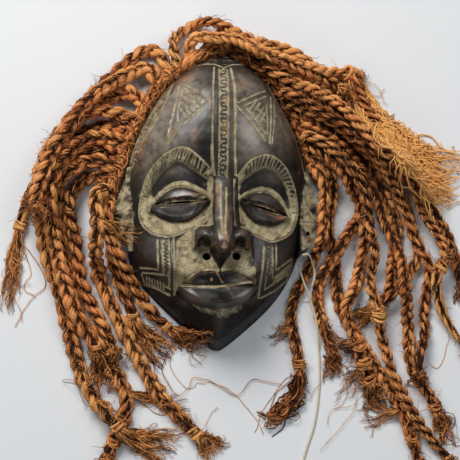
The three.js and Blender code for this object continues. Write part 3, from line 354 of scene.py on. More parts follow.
knife_lines = [
    # the grooves on both sides of the middle band, and the band's own edges
    ([(-8, 99), (-9.6, 76), (-9.8, 50), (-9.5, 26)], 0.6, 1.0),
    ([(-9.6, 30), (-9.4, 22), (-8.4, 12), (-7, 7)], 1.1, 1.4),
    ([(5.4, 98), (7.6, 79), (8, 60), (8.3, 26), (9.8, 7)], 0.9, 1.2),
    ([(-4.2, 97), (-4.3, 50), (-3.6, 6)], 0.5, 0.9),
    ([(2.4, 96), (2.3, 50), (3.2, 5)], 0.5, 0.9),
    # the notched line across the top
    ([(-21, 105), (-7, 102.6), (-0.2, 98.4), (7.2, 103.3), (17, 106)], 0.5, 0.8),
    # the two triangles on the forehead
    ([(-33.2, 84), (-14.2, 67)], 0.55, 0.9), ([(-33.2, 79.5), (-19.6, 66)], 0.55, 0.9),
    ([(-14.2, 65), (-33.8, 45.5)], 0.55, 0.9), ([(-17, 61), (-31, 47)], 0.35, 0.7),
    ([(-35, 43), (-44, 31.5)], 0.5, 0.8),
    ([(-35.8, 81), (-39.9, 58.5), (-44.6, 31.5)], 0.5, 0.8),
    ([(-33.5, 77), (-36.6, 58), (-36, 49)], 0.4, 0.7),
    ([(10.3, 65), (33.3, 79.5)], 0.55, 0.9), ([(15.6, 62.8), (33.5, 74.2)], 0.55, 0.9),
    ([(9.5, 62.2), (32.8, 35.4)], 0.55, 0.9), ([(17.3, 60.2), (32.6, 41.5)], 0.5, 0.8),
    ([(38, 75.5), (37.6, 55), (36.2, 34)], 0.6, 0.9), ([(41.2, 74), (40.4, 52), (38.3, 33)], 0.35, 0.7),
    ([(33.8, 66), (34.6, 52), (34.2, 41)], 0.45, 0.8),
    # inside the triangles
    ([(-32, 71), (-22, 58)], 0.4, 0.7), ([(-30, 74), (-19.5, 62.5)], 0.4, 0.7),
    ([(-34, 66), (-25, 54)], 0.4, 0.7), ([(-34.5, 60), (-28.5, 51)], 0.4, 0.7),
    ([(-33, 70), (-24, 63)], 0.35, 0.6), ([(-34, 64.5), (-25, 58)], 0.35, 0.6),
    ([(-34.5, 58), (-28, 53.5)], 0.35, 0.6),
    ([(24.5, 66.5), (19.5, 60)], 0.4, 0.7), ([(28.5, 67), (22, 56.5)], 0.4, 0.7),
    ([(32, 64.5), (25.5, 53)], 0.4, 0.7), ([(33, 59), (28, 50)], 0.4, 0.7),
    ([(24, 62), (31, 58)], 0.35, 0.6), ([(26, 56), (33, 52)], 0.35, 0.6),
    # the lines along both sides of the forehead
    ([(-40, 92), (-44.6, 74), (-53.4, 52), (-62.2, 39), (-71, 27)], 0.55, 0.8),
    ([(-36, 81), (-37.5, 68)], 0.3, 0.5),
    ([(37, 90), (42, 78.5), (49, 68), (60.3, 48), (66.4, 30), (69, 12)], 0.6, 0.9),
    # the mark on the left cheek
    ([(-49.8, -45), (-49, -68)], 0.6, 0.9), ([(-46.4, -45), (-45, -70.5)], 0.55, 0.9),
    ([(-41.2, -45), (-39.6, -80)], 0.5, 0.9), ([(-37.7, -43.5), (-35.2, -86)], 0.75, 1.1),
    ([(-62.8, -64.5), (-50.2, -67.6)], 0.5, 0.8), ([(-61, -68), (-44.4, -72)], 0.5, 0.8),
    ([(-61.5, -69), (-58.4, -76)], 0.4, 0.7), ([(-58.4, -76), (-49, -80.5), (-38.6, -86.5)], 0.6, 0.9),
    ([(-44, -79), (-38.8, -81.8)], 0.45, 0.8),
    # the mark on the right cheek
    ([(33.6, -48), (31.8, -87)], 0.75, 1.1), ([(37.2, -60), (36.6, -80)], 0.4, 0.8),
    ([(40.4, -46.5), (42.2, -71)], 0.5, 0.9), ([(43.7, -45.5), (44.4, -65)], 0.55, 0.9),
    ([(45, -65.6), (59, -53.6)], 0.5, 0.8), ([(44, -71), (57, -59)], 0.45, 0.8),
    ([(37.5, -80), (57.5, -64.5)], 0.45, 0.8), ([(33.8, -86.8), (46, -79.5), (57, -69)], 0.5, 0.8),
    ([(59, -53.6), (58.6, -63), (57, -69)], 0.45, 0.8),
    # ear creases
    ([(-87, -23), (-69.6, -28.4)], 0.5, 0.9), ([(-87, -22), (-71, -14)], 0.5, 0.9),
    ([(64, -25), (80.5, -24)], 0.5, 0.9), ([(68.5, -11), (79.5, -22)], 0.5, 0.9),
    # the chin's two planes, left without clay
    (chin_line, 0.35, 0.5), (keel_line, 0.5, 0.5),
    # down the bridge of the nose
    ([(-2, -2), (-2.2, -20), (-1.4, -44)], 0.7, 0.6), ([(2.4, -4), (2.2, -22), (0.6, -44)], 0.7, 0.6),
    # between the lips
    ([(-31, -82.6), (-19, -83.4), (-6.5, -84.2), (1.3, -82.9), (12, -81), (26, -77.6)], 0.8, 0.6),
]
for side in ("left", "right"):
    outer = smooth_line(brow_outer[side], 8)
    inner = smooth_line(brow_inner[side], 8)
    knife_lines.append((outer, 0.55, 0.9))
    knife_lines.append((inner, 0.75 if side == "right" else 0.5, 0.8))
    hatched = outer[:hatched_points * 8]
    for i in range(brow_strokes[side]):
        share = (i + 0.6) / brow_strokes[side]
        a = hatched[int(share * (len(hatched) - 1))]
        b = inner[int(share * (len(inner) - 1))]
        lean = 0.8 * math.sin(5.1 * i)
        short = 0.06 + 0.1 * (i % 3 == 1)
        knife_lines.append(([a + (b - a) * 0.12, b - (b - a) * short + (lean, 0)], 0.42, 0.8))
for i in range(15):                          # hatching along the left edge of the forehead
    t = i / 14
    x, y = -49 - 24 * t, 84 - 56 * t
    knife_lines.append(([(x, y), (x + 5, y - 7 + 3 * (i % 2))], 0.4, 0.6))
    knife_lines.append(([(x - 2.5, y - 3), (x + 2.5, y - 1)], 0.35, 0.5))
for i in range(7):                           # strokes across the foot of the right cheek's mark
    x, y = 43.5 + 2 * i, -75 + 1.75 * i
    knife_lines.append(([(x, y), (x + 1.2, y + 4.4)], 0.4, 0.7))
for i in range(7):                           # and of the left one
    x, y = -57.5 + 2.2 * i, -71.5 - 1.0 * i
    knife_lines.append(([(x, y), (x + 0.6, y - 4.8)], 0.4, 0.7))
waves = 2 * np.pi * np.linspace(0, 1, 260)
down = np.linspace(0, 1, 260)
middle_figure = np.stack([-0.9 + 2.4 * np.sin(13 * waves + 0.6 * np.sin(40 * down)),
                          95 - 88 * down + 0.9 * np.sin(26 * waves)], 1)
left_figure = np.stack([-43.6 + 1.6 * down + 1.2 * np.sin(8 * waves), -46 - 25 * down], 1)
right_figure = np.stack([38.6 - 0.6 * down + 1.1 * np.sin(7 * waves), -48 - 22 * down], 1)
clay_bands = [     # outline of each band, and the figure left standing in it
    ([(-4.2, 97), (2.4, 97), (2.4, 50), (3.2, 6), (-3.6, 6), (-4.3, 50)], middle_figure),
    ([(-45.4, -45), (-41.2, -45), (-39.8, -74), (-44, -72)], left_figure),
    ([(37, -47.5), (40.4, -46.5), (41.6, -68), (36.8, -72)], right_figure),
]


def knife_work(x, y):
    """Depth cut away, and how far each point lies outside the nearest line's edge."""
    cut = np.zeros(x.shape)
    outside = np.full(x.shape, 4.0)
    for line, half, depth in knife_lines:
        d = line_distance(x, y, line, reach=4.0) - half
        outside = np.minimum(outside, d)
        cut = np.maximum(cut, depth * step(0.35, -0.45, d))
    for outline, figure in clay_bands:
        within = inside_line(x, y, outline)
        figure_gap = line_distance(x, y, figure, reach=3.0) - 0.55
        band = np.minimum(within, figure_gap)
        outside = np.where(within > 0, np.minimum(np.maximum(-band, outside * (figure_gap < 0)), 4), outside)
        cut = np.maximum(cut, 0.8 * step(-0.3, 0.4, band))
    return cut, outside


def hand_grain(x, y, seed, size):
    """Gentle unevenness of hand work, about -1 to 1, from a few crossed waves."""
    rng = np.random.default_rng(seed)
    total = np.zeros(x.shape)
    for _ in range(9):
        angle = rng.uniform(0, np.pi)
        wave = rng.uniform(0.7, 1.6) * size
        total += np.sin((x * np.cos(angle) + y * np.sin(angle)) * 2 * np.pi / wave + rng.uniform(0, 6.3))
    return total / 4.5


def fine_relief(x, y):
    """Small planes left by the knife: raised brow bands, cuts under the brows and round the lids and lips."""
    extra = np.zeros(x.shape)
    for side, eye in zip(("left", "right"), eyes):
        outer = smooth_line(brow_outer[side], 6)
        inner = smooth_line(brow_inner[side], 6)
        band = inside_line(x, y, np.vstack([outer[:hatched_points * 6], inner[::-1]]))
        in_socket = inside_line(x, y, np.vstack([outer, [socket_corner[side]]])) > 0
        extra += 1.0 * step(-0.8, 0.9, band)
        under_brow = np.where((band < 0) & in_socket, line_distance(x, y, inner, reach=9), 9)
        extra -= 1.7 * hump(under_brow, 2.2, 2.4)
        lower_rim = line_distance(x, y, outer[hatched_points * 6:], reach=8)
        extra += 1.0 * hump(lower_rim, 0.4, 1.9) - 0.7 * hump(lower_rim, 5, 2.2) * in_socket
        u, v, _ = almond_at(x, y, eye)
        gap = outline_gap(u, v, *eye[2:5])
        extra -= 1.5 * hump(gap, 0.6, 1.1)
        extra += 1.0 * hump(gap, -3.2, 2.2) * (v < 0)
    u, v, _ = almond_at(x, y, mouth)
    gap = outline_gap(u, v, *mouth[2:5])
    extra += 1.6 * hump(gap, -3.5, 2.6) * (v < 0)
    extra -= 2.3 * hump(gap, 0.7, 1.3) * (v < 0) + 0.9 * hump(gap, 0.5, 0.9) * (v > 0)
    extra += 1.3 * hump(u, 0, 7) * step(1, 6, -v) * (gap < 0)
    extra -= 0.9 * (hump(u, 13, 6) + hump(u, -13, 6)) * step(1, 5, v) * (gap < 0)
    return extra


def places_across(left, right, columns):
    """Evenly spaced places in each row, from its left edge to its right one."""
    return left[:, None] + (right - left)[:, None] * 0.5 * (1 + np.linspace(-1, 1, columns))


row_count, column_count = 348, 220
lowest_row, highest_row = -127, 115.6
row_levels = np.linspace(lowest_row, highest_row, row_count)
grid_y = np.repeat(row_levels[:, None], column_count, axis=1)
grid_x = places_across(*mask_edges(row_levels), column_count)
flat_x, flat_y = grid_x.ravel(), grid_y.ravel()
carved = face_height(flat_x, flat_y)
cut, _ = knife_work(flat_x, flat_y)
unevenness = 0.16 * hand_grain(flat_x, flat_y, 3, 17) + 0.09 * hand_grain(flat_x, flat_y, 4, 6)
surface_height = carved + fine_relief(flat_x, flat_y) - cut + unevenness * step(0, 4, carved - chin_edge)
grid_z = surface_height.reshape(grid_x.shape)


def new_piece(name, points, corners):
    """A smooth mesh object from points in metres and rows of point numbers, three or four to a face."""
    mesh = bpy.data.meshes.new(name)
    corners = np.asarray(corners, np.int32)
    count, per_face = corners.shape
    mesh.vertices.add(len(points))
    mesh.vertices.foreach_set("co", np.asarray(points, np.float32).ravel())
    mesh.loops.add(count * per_face)
    mesh.loops.foreach_set("vertex_index", corners.ravel())
    mesh.polygons.add(count)
    mesh.polygons.foreach_set("loop_start", np.arange(count, dtype=np.int32) * per_face)
    mesh.polygons.foreach_set("use_smooth", np.ones(count, bool))
    mesh.update(calc_edges=True)
    mesh.validate()
    piece = bpy.data.objects.new(name, mesh)
    bpy.context.scene.collection.objects.link(piece)
    return piece


def closed_dome(name, x, y, z, base):
    """A closed body between a grid of heights and a flat base."""
    rows, columns = x.shape
    number = np.arange(rows * columns).reshape(rows, columns)
    loop = np.concatenate([number[0], number[1:, -1], number[-1, -2::-1], number[-2:0:-1, 0]])
    points = np.stack([x.ravel(), y.ravel(), z.ravel()], 1)
    low = points[loop].copy()
    low[:, 2] = base
    middle = np.array([[0.0, -10.0, base]])
    low_number = len(points) + np.arange(len(loop))
    top = np.stack([number[:-1, :-1], number[:-1, 1:], number[1:, 1:], number[1:, :-1]], -1).reshape(-1, 4)
    triangles = np.vstack([top[:, [0, 1, 2]], top[:, [0, 2, 3]]])
    nxt = np.roll(np.arange(len(loop)), -1)
    wall = np.vstack([np.stack([low_number, low_number[nxt], loop[nxt]], 1),
                      np.stack([low_number, loop[nxt], loop], 1)])
    floor = np.stack([low_number[nxt], low_number, np.full(len(loop), len(points) + len(loop))], 1)
    return new_piece(name, to_row(np.vstack([points, low, middle])), np.vstack([triangles, wall, floor]))


mask = closed_dome("carved_mask", grid_x, grid_y, grid_z, 0.0)
hollow_rows, hollow_columns = 110, 62
hollow_levels = np.linspace(-112, 104, hollow_rows)
hollow_left, hollow_right = face_edges(hollow_levels)
hollow_x = places_across(np.minimum(hollow_left + hollow_inset, -2),
                         np.maximum(hollow_right - hollow_inset, 2), hollow_columns)
hollow_y = np.repeat(hollow_levels[:, None], hollow_columns, axis=1)
hollow_roundness = (1 - np.abs(np.linspace(-1, 1, hollow_columns)) ** 2.6) ** 0.6
hollow_z = 1 + (hollow_crest(hollow_y) - 1) * hollow_roundness
adze_facets = (0.5 * np.abs(np.sin(hollow_x / 5.5 + 0.6 * np.sin(hollow_y / 13)))
               + 0.4 * np.abs(np.sin(hollow_y / 8)))
hollow_z = hollow_z - adze_facets * step(1, 6, hollow_z)
cutters = [closed_dome("hollow_cutter", hollow_x, hollow_y, hollow_z, -5.0)]


def drill(name, radius, length, place, turn=None):
    """A round rod through a place, for a drilled hole."""
    sides = 20
    angle = np.linspace(0, 2 * np.pi, sides, endpoint=False)
    ring = np.stack([radius * np.cos(angle), radius * np.sin(angle)], 1)
    ends = -length / 2, length / 2
    points = np.vstack([np.c_[ring, np.full(sides, ends[0])], np.c_[ring, np.full(sides, ends[1])],
                        [[0, 0, ends[0]], [0, 0, ends[1]]]])
    if turn is not None:
        points = points @ np.array(turn.to_matrix()).T
    a = np.arange(sides)
    b = (a + 1) % sides
    middle = 2 * sides + 0 * a
    corners = ((a, b, b + sides), (a, b + sides, a + sides), (b, a, middle),
               (a + sides, b + sides, middle + 1))
    faces = np.vstack([np.stack(columns, 1) for columns in corners])
    return new_piece(name, to_row(points + np.array(place, float)), faces)


slit_opening = (12, 0.95)                                              # half length, half height
for i, (x, y, *_, tilt) in enumerate(slits):
    opening = drill(f"slit_cutter_{i}", 1.0, 60, (0, 0, 0))
    for move in (Matrix.Translation(-Vector(to_row((0, 0, 0)))), Matrix.Diagonal((*slit_opening, 1, 1)),
                 Matrix.Rotation(math.radians(tilt), 4, "Z"), Matrix.Translation(Vector(to_row((x, y, 45))))):
        opening.data.transform(move)
    cutters.append(opening)
for kind, radius, length, middle, places in (("nose_hole", 3.3, 80, 50, [(-11.5, -58.5), (12, -57.5)]),
                                             ("ear_hole", 1.7, 70, 28, [(-74.5, -34.5), (71.5, -33)])):
    for i, (x, y) in enumerate(places):
        cutters.append(drill(f"{kind}_cutter_{i}", radius, length, (x, y, middle)))
rim_holes = [(-7, -124, 65), (-26, -109, 48), (27, -107, 132)]         # x, y and heading in degrees
for i, (x, y, heading) in enumerate(rim_holes):
    heading = math.radians(heading)
    along = Vector((math.cos(heading), math.sin(heading), -math.tan(math.radians(12))))
    cutters.append(drill(f"rim_hole_cutter_{i}", 1.6, 40, (x, y, 8), along.to_track_quat("Z", "Y")))
for cutter in cutters:
    carve = mask.modifiers.new("carve", "BOOLEAN")
    carve.operation = "DIFFERENCE"
    carve.solver = "MANIFOLD"
    carve.object = cutter
depsgraph = bpy.context.evaluated_depsgraph_get()
carved_mesh = bpy.data.meshes.new_from_object(mask.evaluated_get(depsgraph))
mask.modifiers.clear()
mask.data = carved_mesh
for cutter in cutters:
    bpy.data.objects.remove(cutter)
mask.data.polygons.foreach_set("use_smooth", np.ones(len(mask.data.polygons), bool))
mask.data.set_sharp_from_angle(angle=math.radians(50))


def blurred(values, radius):
    """Mean over a square of grid cells round each one."""
    padded = np.pad(values, radius, mode="edge")
    for axis in (0, 1):
        total = np.cumsum(padded, axis=axis)
        total = np.insert(total, 0, 0, axis=axis)
        width = 2 * radius + 1
        high = np.take(total, np.arange(width, total.shape[axis]), axis=axis)
        low = np.take(total, np.arange(0, total.shape[axis] - width), axis=axis)
        padded = (high - low) / width
    return padded


# How the surface of the wood differs from place to place: each point of the mask carries these amounts
# for the finish below, from where it lies on the drawing. Some of them also paint shade, a dark reflection,
# a highlight and sheen.
points = np.empty(len(mask.data.vertices) * 3, np.float32)
mask.data.vertices.foreach_get("co", points)
points = points.reshape(-1, 3) * 1000 - drawing_origin
x, y, z = points.astype(float).T.copy()
left_at, right_at = mask_edges(y)
row_at = np.rint((y - lowest_row) / (highest_row - lowest_row) * (row_count - 1)).astype(int)
row_at = np.clip(row_at, 0, row_count - 1)
column_at = np.rint((x - left_at) / np.maximum(right_at - left_at, 0.1) * (column_count - 1)).astype(int)
column_at = np.clip(column_at, 0, column_count - 1)
on_face = np.abs(z - grid_z[row_at, column_at]) < 1.5
convex_grid = grid_z - blurred(grid_z, 4)
worn = np.clip(convex_grid[row_at, column_at] * 1.6, -1, 1)
_, outside_lines = knife_work(x, y)
for bare_line in (chin_line, keel_line):
    outside_lines = np.where(line_distance(x, y, bare_line, reach=3.0) < 2.4, 4, outside_lines)


def spots(places):
    """Soft spots, each with its x, y, half width, half height and strength."""
    total = np.zeros(x.shape)
    for cx, cy, wide, high, amount in places:
        total = np.maximum(total, amount * np.exp(-((x - cx) / wide) ** 2 - ((y - cy) / high) ** 2))
    return total


socket_clay = np.zeros(x.shape)
for side, eye in zip(("left", "right"), eyes):
    ring = inside_line(x, y, smooth_line(brow_outer[side] + [socket_corner[side]], 6))
    u, v, lid = almond_at(x, y, eye)
    lid_gap = np.where(v > 0, v - eye[3] * bow(u, eye[2]), 0)
    outward = -u if side == "left" else u
    crescent = (v > 0) * step(4, 6.5, lid_gap) * step(-25, -20, outward) * step(23, 17, outward)
    socket_clay = np.maximum(socket_clay, step(0, 1.6, ring) * (lid <= 0) * (1 - crescent))
muzzle_outline = [(-9, 6), (-10.5, -30), (-27, -39), (-35, -45.5), (-36, -62), (-35, -85), (-31, -81),
                  (-15, -70), (-2, -72), (8, -69.5), (18, -73), (28, -79), (29, -76), (27, -62), (22, -47),
                  (14, -39), (10, -30), (10, 4)]
nose_side = np.abs(x - nose_middle)
on_nose = (nose_side < nose_half_width(y) + 1.2) & (y < 8) & (y > -57)
on_wings = (y < -36) & (y > -53) & (nose_side < 22) & (z > 58)
on_point = (y <= -52) & (np.abs(x + 0.8) < 7.5 * np.clip((y + 68) / 12, 0, 1) + 0.6)
muzzle_clay = step(-1.5, 1.5, inside_line(x, y, muzzle_outline)) * ~on_nose * ~on_wings * ~on_point
ear_inner = np.interp(y, [-52, -40, -20, 0, 18], [68.5, 67, 65, 67.5, 72]) - np.where(x > 0, 2.5, 0)
ear_clay = step(-1.5, 1.5, ear_height(x, y) - plain_face(x, y)) * step(-1.5, 2.5, np.abs(x) - ear_inner)
ear_clay = np.maximum(ear_clay, 0.75 * step(-66, -73, x) * step(-46, -34, y) * step(34, 12, y))
notch = np.interp(x, [-21, -7, -0.2, 7.2, 17], [105, 102.6, 98.4, 103.3, 106])
top_clay = step(0, 1, y - notch) * step(24, 17, np.abs(x + 2))
side_line_x = np.interp(y, [27, 39, 52, 74, 92], [-71, -62.2, -53.4, -44.6, -40])
side_clay = step(0, 1.5, side_line_x - x) * (x < -30) * (y > 25)
lip_x, lip_y, _ = almond_at(x, y, mouth)
below_lip = -lip_y - mouth[4] * bow(lip_x, mouth[2])
lip_clay = step(10, 1, below_lip + 0.2 * np.abs(lip_x - 6)) * step(-3, -0.5, below_lip)
lip_clay = lip_clay * step(33, 20, np.abs(lip_x - 4)) * (lip_y < 0)
in_slit = np.maximum.reduce([step(0.1, 0.4, almond_at(x, y, slit)[2]) for slit in slits])
slit_clay = spots([(-24, -13.2, 4, 1.1, 0.9), (-17, -11.5, 5, 1.2, 1.0), (-11, -9.5, 2, 2, 0.8),
                   (46, -21, 6, 1.2, 0.9), (53, -24, 3, 2, 0.9), (22, -12.5, 3, 1, 0.7),
                   (-46, -19, 5, 1, 0.6)])
stray_clay = spots([(-4.5, 4, 3, 5, 0.6), (3, -9, 2.5, 12, 0.5), (-3, -30, 2, 9, 0.45),
                    (-73, 24, 5, 12, 0.62)])
band_clay = np.zeros(x.shape)
for side in ("left", "right"):
    outer = smooth_line(brow_outer[side][:hatched_points], 6)
    inner = smooth_line(brow_inner[side], 6)
    band_clay = np.maximum(band_clay, step(-0.6, 0.6, inside_line(x, y, np.vstack([outer, inner[::-1]]))))
clay = np.maximum.reduce([socket_clay * 0.86, muzzle_clay * 0.84, ear_clay * 0.62, top_clay * 0.36,
                          side_clay * 0.5, lip_clay * 0.66, band_clay * 0.24, slit_clay, in_slit * 0.42,
                          stray_clay])
worn_off = spots([(-14.2, -50, 6, 4, 0.7), (13.8, -50, 5.5, 4, 0.7), (-55, -25, 5, 9, 0.3),
                  (27, -62, 5, 10, 0.45), (-30, -55, 4, 6, 0.35), (-20, -63, 5, 3, 0.3), (13, -68, 6, 3, 0.3),
                  (-52, -1, 4, 7, 0.5), (-60, -34, 5, 4, 0.4), (44, -40, 6, 4, 0.3), (-84, -24, 4, 7, 0.4),
                  (-72, 4, 4, 8, 0.35), (16, -34, 4, 5, 0.4), (-14, -30, 3, 7, 0.35), (58, -33, 5, 5, 0.35),
                  (76, -14, 3, 4, 0.5), (82, -30, 3, 10, 0.6), (-70, -6, 4, 12, 0.3), (-86, -30, 4, 9, 0.5)])
clay = clay * (1 - worn_off)
# Dark spots, partly soot and partly painted shade: where the face turns away from the lamps (its right edge,
# the jaw), in its hollows (under the brows and the lower lids, the nostrils, under the nose, the upper lip),
# and a painted dark reflection down the middle of the lower lip.
soot_and_painted_shade = spots([(-15, 30, 8, 22, 1.0), (56, 20, 12, 38, 0.7), (-20, 82, 12, 10, 0.5), (-52, -52, 16, 14, 0.5),
              (-16, 12, 8, 7, 1.0), (22, 84, 14, 9, 0.5), (-6, -76, 15, 5, 0.9), (-4, -92, 5, 8, 0.9),
              (50, -48, 10, 12, 0.4), (-14.2, -46, 6, 2, 0.8), (13.8, -46, 5.5, 2, 0.8),
              (-37, -26, 14, 4, 0.9), (36, -26, 14, 4, 0.9), (-42, -94, 16, 12, 1.0), (-58, -78, 9, 12, 0.9),
              (0, -61, 4, 6, 0.8), (12, 75, 6, 12, 0.6)])
# The chin and the sides of the jaw are darkened downwards: soot, and painted shade where they face away from
# the lamps.
chin_soot_and_painted_shade = step(-78, -96, y) * (0.5 + 0.5 * step(2, 10, below_lip))
jaw_soot_and_painted_shade = 0.9 * step(-45, -62, y) * step(46, 58, np.abs(x + 2))
soot_and_painted_shade = np.clip(chin_soot_and_painted_shade + jaw_soot_and_painted_shade + soot_and_painted_shade, 0, 1)
# Brown wood where hands have rubbed the black away; the small spot at (-8, -78.5) on the upper lip is a
# painted highlight.
rubbed_and_highlight = spots([(-30, 88, 10, 7, 0.62), (-24, 37, 6, 9, 0.62), (-43, 40, 4, 12, 0.58), (14, 86, 7, 7, 0.6),
                (1, 44, 4, 9, 0.6), (1, 66, 4, 5, 0.55), (0.6, -41, 1.8, 9, 0.95), (0.4, -53, 1.6, 4, 1.0),
                (13, 44, 2, 4, 0.7), (-22, -7.5, 12, 1.2, 0.6), (-30, 26, 3, 4, 0.6), (-12, 60, 3, 12, 0.5),
                (-8, -78.5, 1.3, 1.3, 1.0), (-64, 34, 5, 14, 0.45), (48, -24, 8, 2, 0.5),
                (-14.2, -52, 6, 5, 0.75), (13.8, -52, 5.5, 5, 0.75), (-4, -4, 2, 5, 0.7),
                (-3.4, -16, 1.4, 6, 0.65), (3.4, -28, 1.4, 8, 0.65), (1, -45, 3, 5, 0.9)])
lip_scratch = line_distance(x, y, smooth_line([(-4.5, -72.5), (0, -80), (6, -86), (9, -91)], 6), reach=3.0)
rubbed_and_highlight = np.maximum.reduce([rubbed_and_highlight, 0.8 * in_slit, 0.62 * step(1.0, 0.2, lip_scratch)])
polish = spots([(-52, 46, 20, 38, 1.0), (-34, 72, 20, 24, 1.0), (24, 44, 17, 30, 1.0), (14, 80, 18, 14, 0.8),
                (-38, 12, 16, 6, 0.9), (40, 9, 14, 6, 0.9), (-33, -24, 12, 3, 0.5), (34, -25, 10, 3, 0.5),
                (-36, -7, 13, 3.5, 0.9), (36, -9, 11, 3.5, 0.9), (-17, -41, 6, 3, 1.0), (16, -41, 6, 3, 1.0),
                (0, -20, 7, 26, 0.9), (0, -45, 18, 6, 0.7), (-52, -48, 14, 14, 0.9), (36, -52, 9, 18, 0.8),
                (-18, -90, 12, 5, 1.0), (15, -88, 12, 5, 1.0), (14, -77, 8, 3, 0.6), (-40, -64, 8, 20, 0.5),
                (0, -104, 4, 12, 0.35), (48, -60, 10, 18, 0.4), (-60, 20, 10, 24, 0.8),
                (46, 56, 14, 26, 0.9)])


def mark_points(piece, **amounts):
    """Stores one number per point under each name."""
    for name, values in amounts.items():
        layer = piece.data.attributes.new(name, "FLOAT", "POINT")
        layer.data.foreach_set("value", np.asarray(values, np.float32))


# The dust amount: a pale film where the wood is polished, most on the forehead; it paints the sheen there as
# well as dust.
face_marks = {"clay": clay, "worn": worn, "soot_and_painted_shade": soot_and_painted_shade, "rubbed_and_highlight": rubbed_and_highlight, "polish": polish,
              "dust_and_painted_sheen": polish * (0.25 + 0.75 * step(-5, 22, y))}
mark_points(mask, knife_gap=np.where(on_face, outside_lines, 4), hollow_side=~on_face,
            **{name: np.where(on_face, amount, 0) for name, amount in face_marks.items()})

# The mask's finish.
# Hardwood dyed nearly black and rubbed to a low shine; the brown wood shows where hands have worn it.
# Pale ochre clay sits in the cuts, the sockets and the muzzle, matt and a little cracked.
# The near-black of soot also paints shade and a dark reflection, a pale dust film paints sheen, and one spot
# of brown wood paints a highlight on the upper lip.


def shader_group(name, inputs, outputs):
    """A node group with named values in and out; gives the group and its two end nodes."""
    group = bpy.data.node_groups.new(name, "ShaderNodeTree")
    for label, kind, value in inputs:
        group.interface.new_socket(label, in_out="INPUT", socket_type=kind).default_value = value
    for label, kind in outputs:
        group.interface.new_socket(label, in_out="OUTPUT", socket_type=kind)
    return group, group.nodes.new("NodeGroupInput"), group.nodes.new("NodeGroupOutput")


def node(nodes, kind, settings=None, **values):
    """A new node with its settings and the plain values of its inputs."""
    made = nodes.new(kind)
    for key, value in (settings or {}).items():
        setattr(made, key, value)
    for key, value in values.items():
        made.inputs[key.replace("_", " ")].default_value = value
    return made


def stored(tree, name):
    return node(tree.nodes, "ShaderNodeAttribute", {"attribute_name": name}).outputs["Fac"]


def plug(tree, socket, value):
    """Links a socket to value, or sets it where value is a plain number or a colour."""
    if isinstance(value, bpy.types.NodeSocket):
        tree.links.new(value, socket)
    else:
        socket.default_value = value


def combined(tree, kind, a, b, clamp=False):
    """The result of a Math node; a and b are sockets or numbers."""
    made = node(tree.nodes, "ShaderNodeMath", {"operation": kind, "use_clamp": clamp})
    plug(tree, made.inputs[0], a)
    plug(tree, made.inputs[1], b)
    return made.outputs[0]


def plus(tree, a, b):
    return combined(tree, "ADD", a, b)


def times(tree, a, b):
    return combined(tree, "MULTIPLY", a, b)


def swing(tree, noise, size):
    """How far a noise lies from its middle, times size."""
    return times(tree, combined(tree, "SUBTRACT", noise, 0.5), size)


def ranged(tree, value, low, high):
    """value as 0 at low and 1 at high, smooth between."""
    made = node(tree.nodes, "ShaderNodeMapRange", {"interpolation_type": "SMOOTHSTEP"})
    tree.links.new(value, made.inputs["Value"])
    made.inputs["From Min"].default_value = low
    made.inputs["From Max"].default_value = high
    return made.outputs["Result"]


def mixed(tree, amount, a, b):
    """Colour a where amount is 0 and b where it is 1; each is a socket or a colour."""
    made = node(tree.nodes, "ShaderNodeMix", {"data_type": "RGBA"})
    plug(tree, made.inputs["Factor"], amount)
    for socket, value in ((made.inputs[6], a), (made.inputs[7], b)):
        plug(tree, socket, value if isinstance(value, bpy.types.NodeSocket) else (*value, 1))
    return made.outputs[2]


mottle, mottle_in, mottle_out = shader_group(
    "mottle", [("Size", "NodeSocketFloat", 100.0), ("Stretch", "NodeSocketVector", (1, 1, 1))],
    [("Fine", "NodeSocketFloat"), ("Broad", "NodeSocketFloat")])
place = mottle.nodes.new("ShaderNodeTexCoord")
stretched = node(mottle.nodes, "ShaderNodeVectorMath", {"operation": "MULTIPLY"})
mottle.links.new(place.outputs["Object"], stretched.inputs[0])
mottle.links.new(mottle_in.outputs["Stretch"], stretched.inputs[1])
for label, share, detail in (("Fine", 1.0, 6.0), ("Broad", 0.16, 5.0)):
    grain = node(mottle.nodes, "ShaderNodeTexNoise", Detail=detail, Roughness=0.6)
    mottle.links.new(stretched.outputs[0], grain.inputs["Vector"])
    mottle.links.new(times(mottle, mottle_in.outputs["Size"], share), grain.inputs["Scale"])
    mottle.links.new(grain.outputs["Fac"], mottle_out.inputs[label])


def place_group(nodes, group, **values):
    return node(nodes, "ShaderNodeGroup", {"node_tree": group}, **values)


# The near-black sooted colour is used both for soot and for painted shade.
dark_wood, sooted_and_shaded_wood, scratched_wood = (0.017, 0.0145, 0.013), (0.0035, 0.003, 0.003), (0.04, 0.032, 0.026)
# The pale dust colour also paints sheen.
worn_wood, dust_and_sheen_colour = (0.25, 0.125, 0.06), (0.29, 0.22, 0.155)
damp_clay, dry_clay, clay_specks = (0.26, 0.2, 0.105), (0.5, 0.43, 0.27), (0.14, 0.095, 0.05)
raw_wood_dark, raw_wood_light = (0.05, 0.03, 0.018), (0.13, 0.075, 0.04)
patina, nodes, surface = new_material("rubbed_patina_and_clay")
tree = patina.node_tree
cloud = place_group(nodes, mottle, Size=160.0).outputs
scratches = place_group(nodes, mottle, Size=420.0, Stretch=(1.0, 0.16, 1.0)).outputs
speckle = place_group(nodes, mottle, Size=900.0).outputs
# Near black where there is soot, and where shade is painted.
soot_and_shade_amount = ranged(tree, plus(tree, stored(tree, "soot_and_painted_shade"), times(tree, cloud["Broad"], 0.9)), 0.62, 1.15)
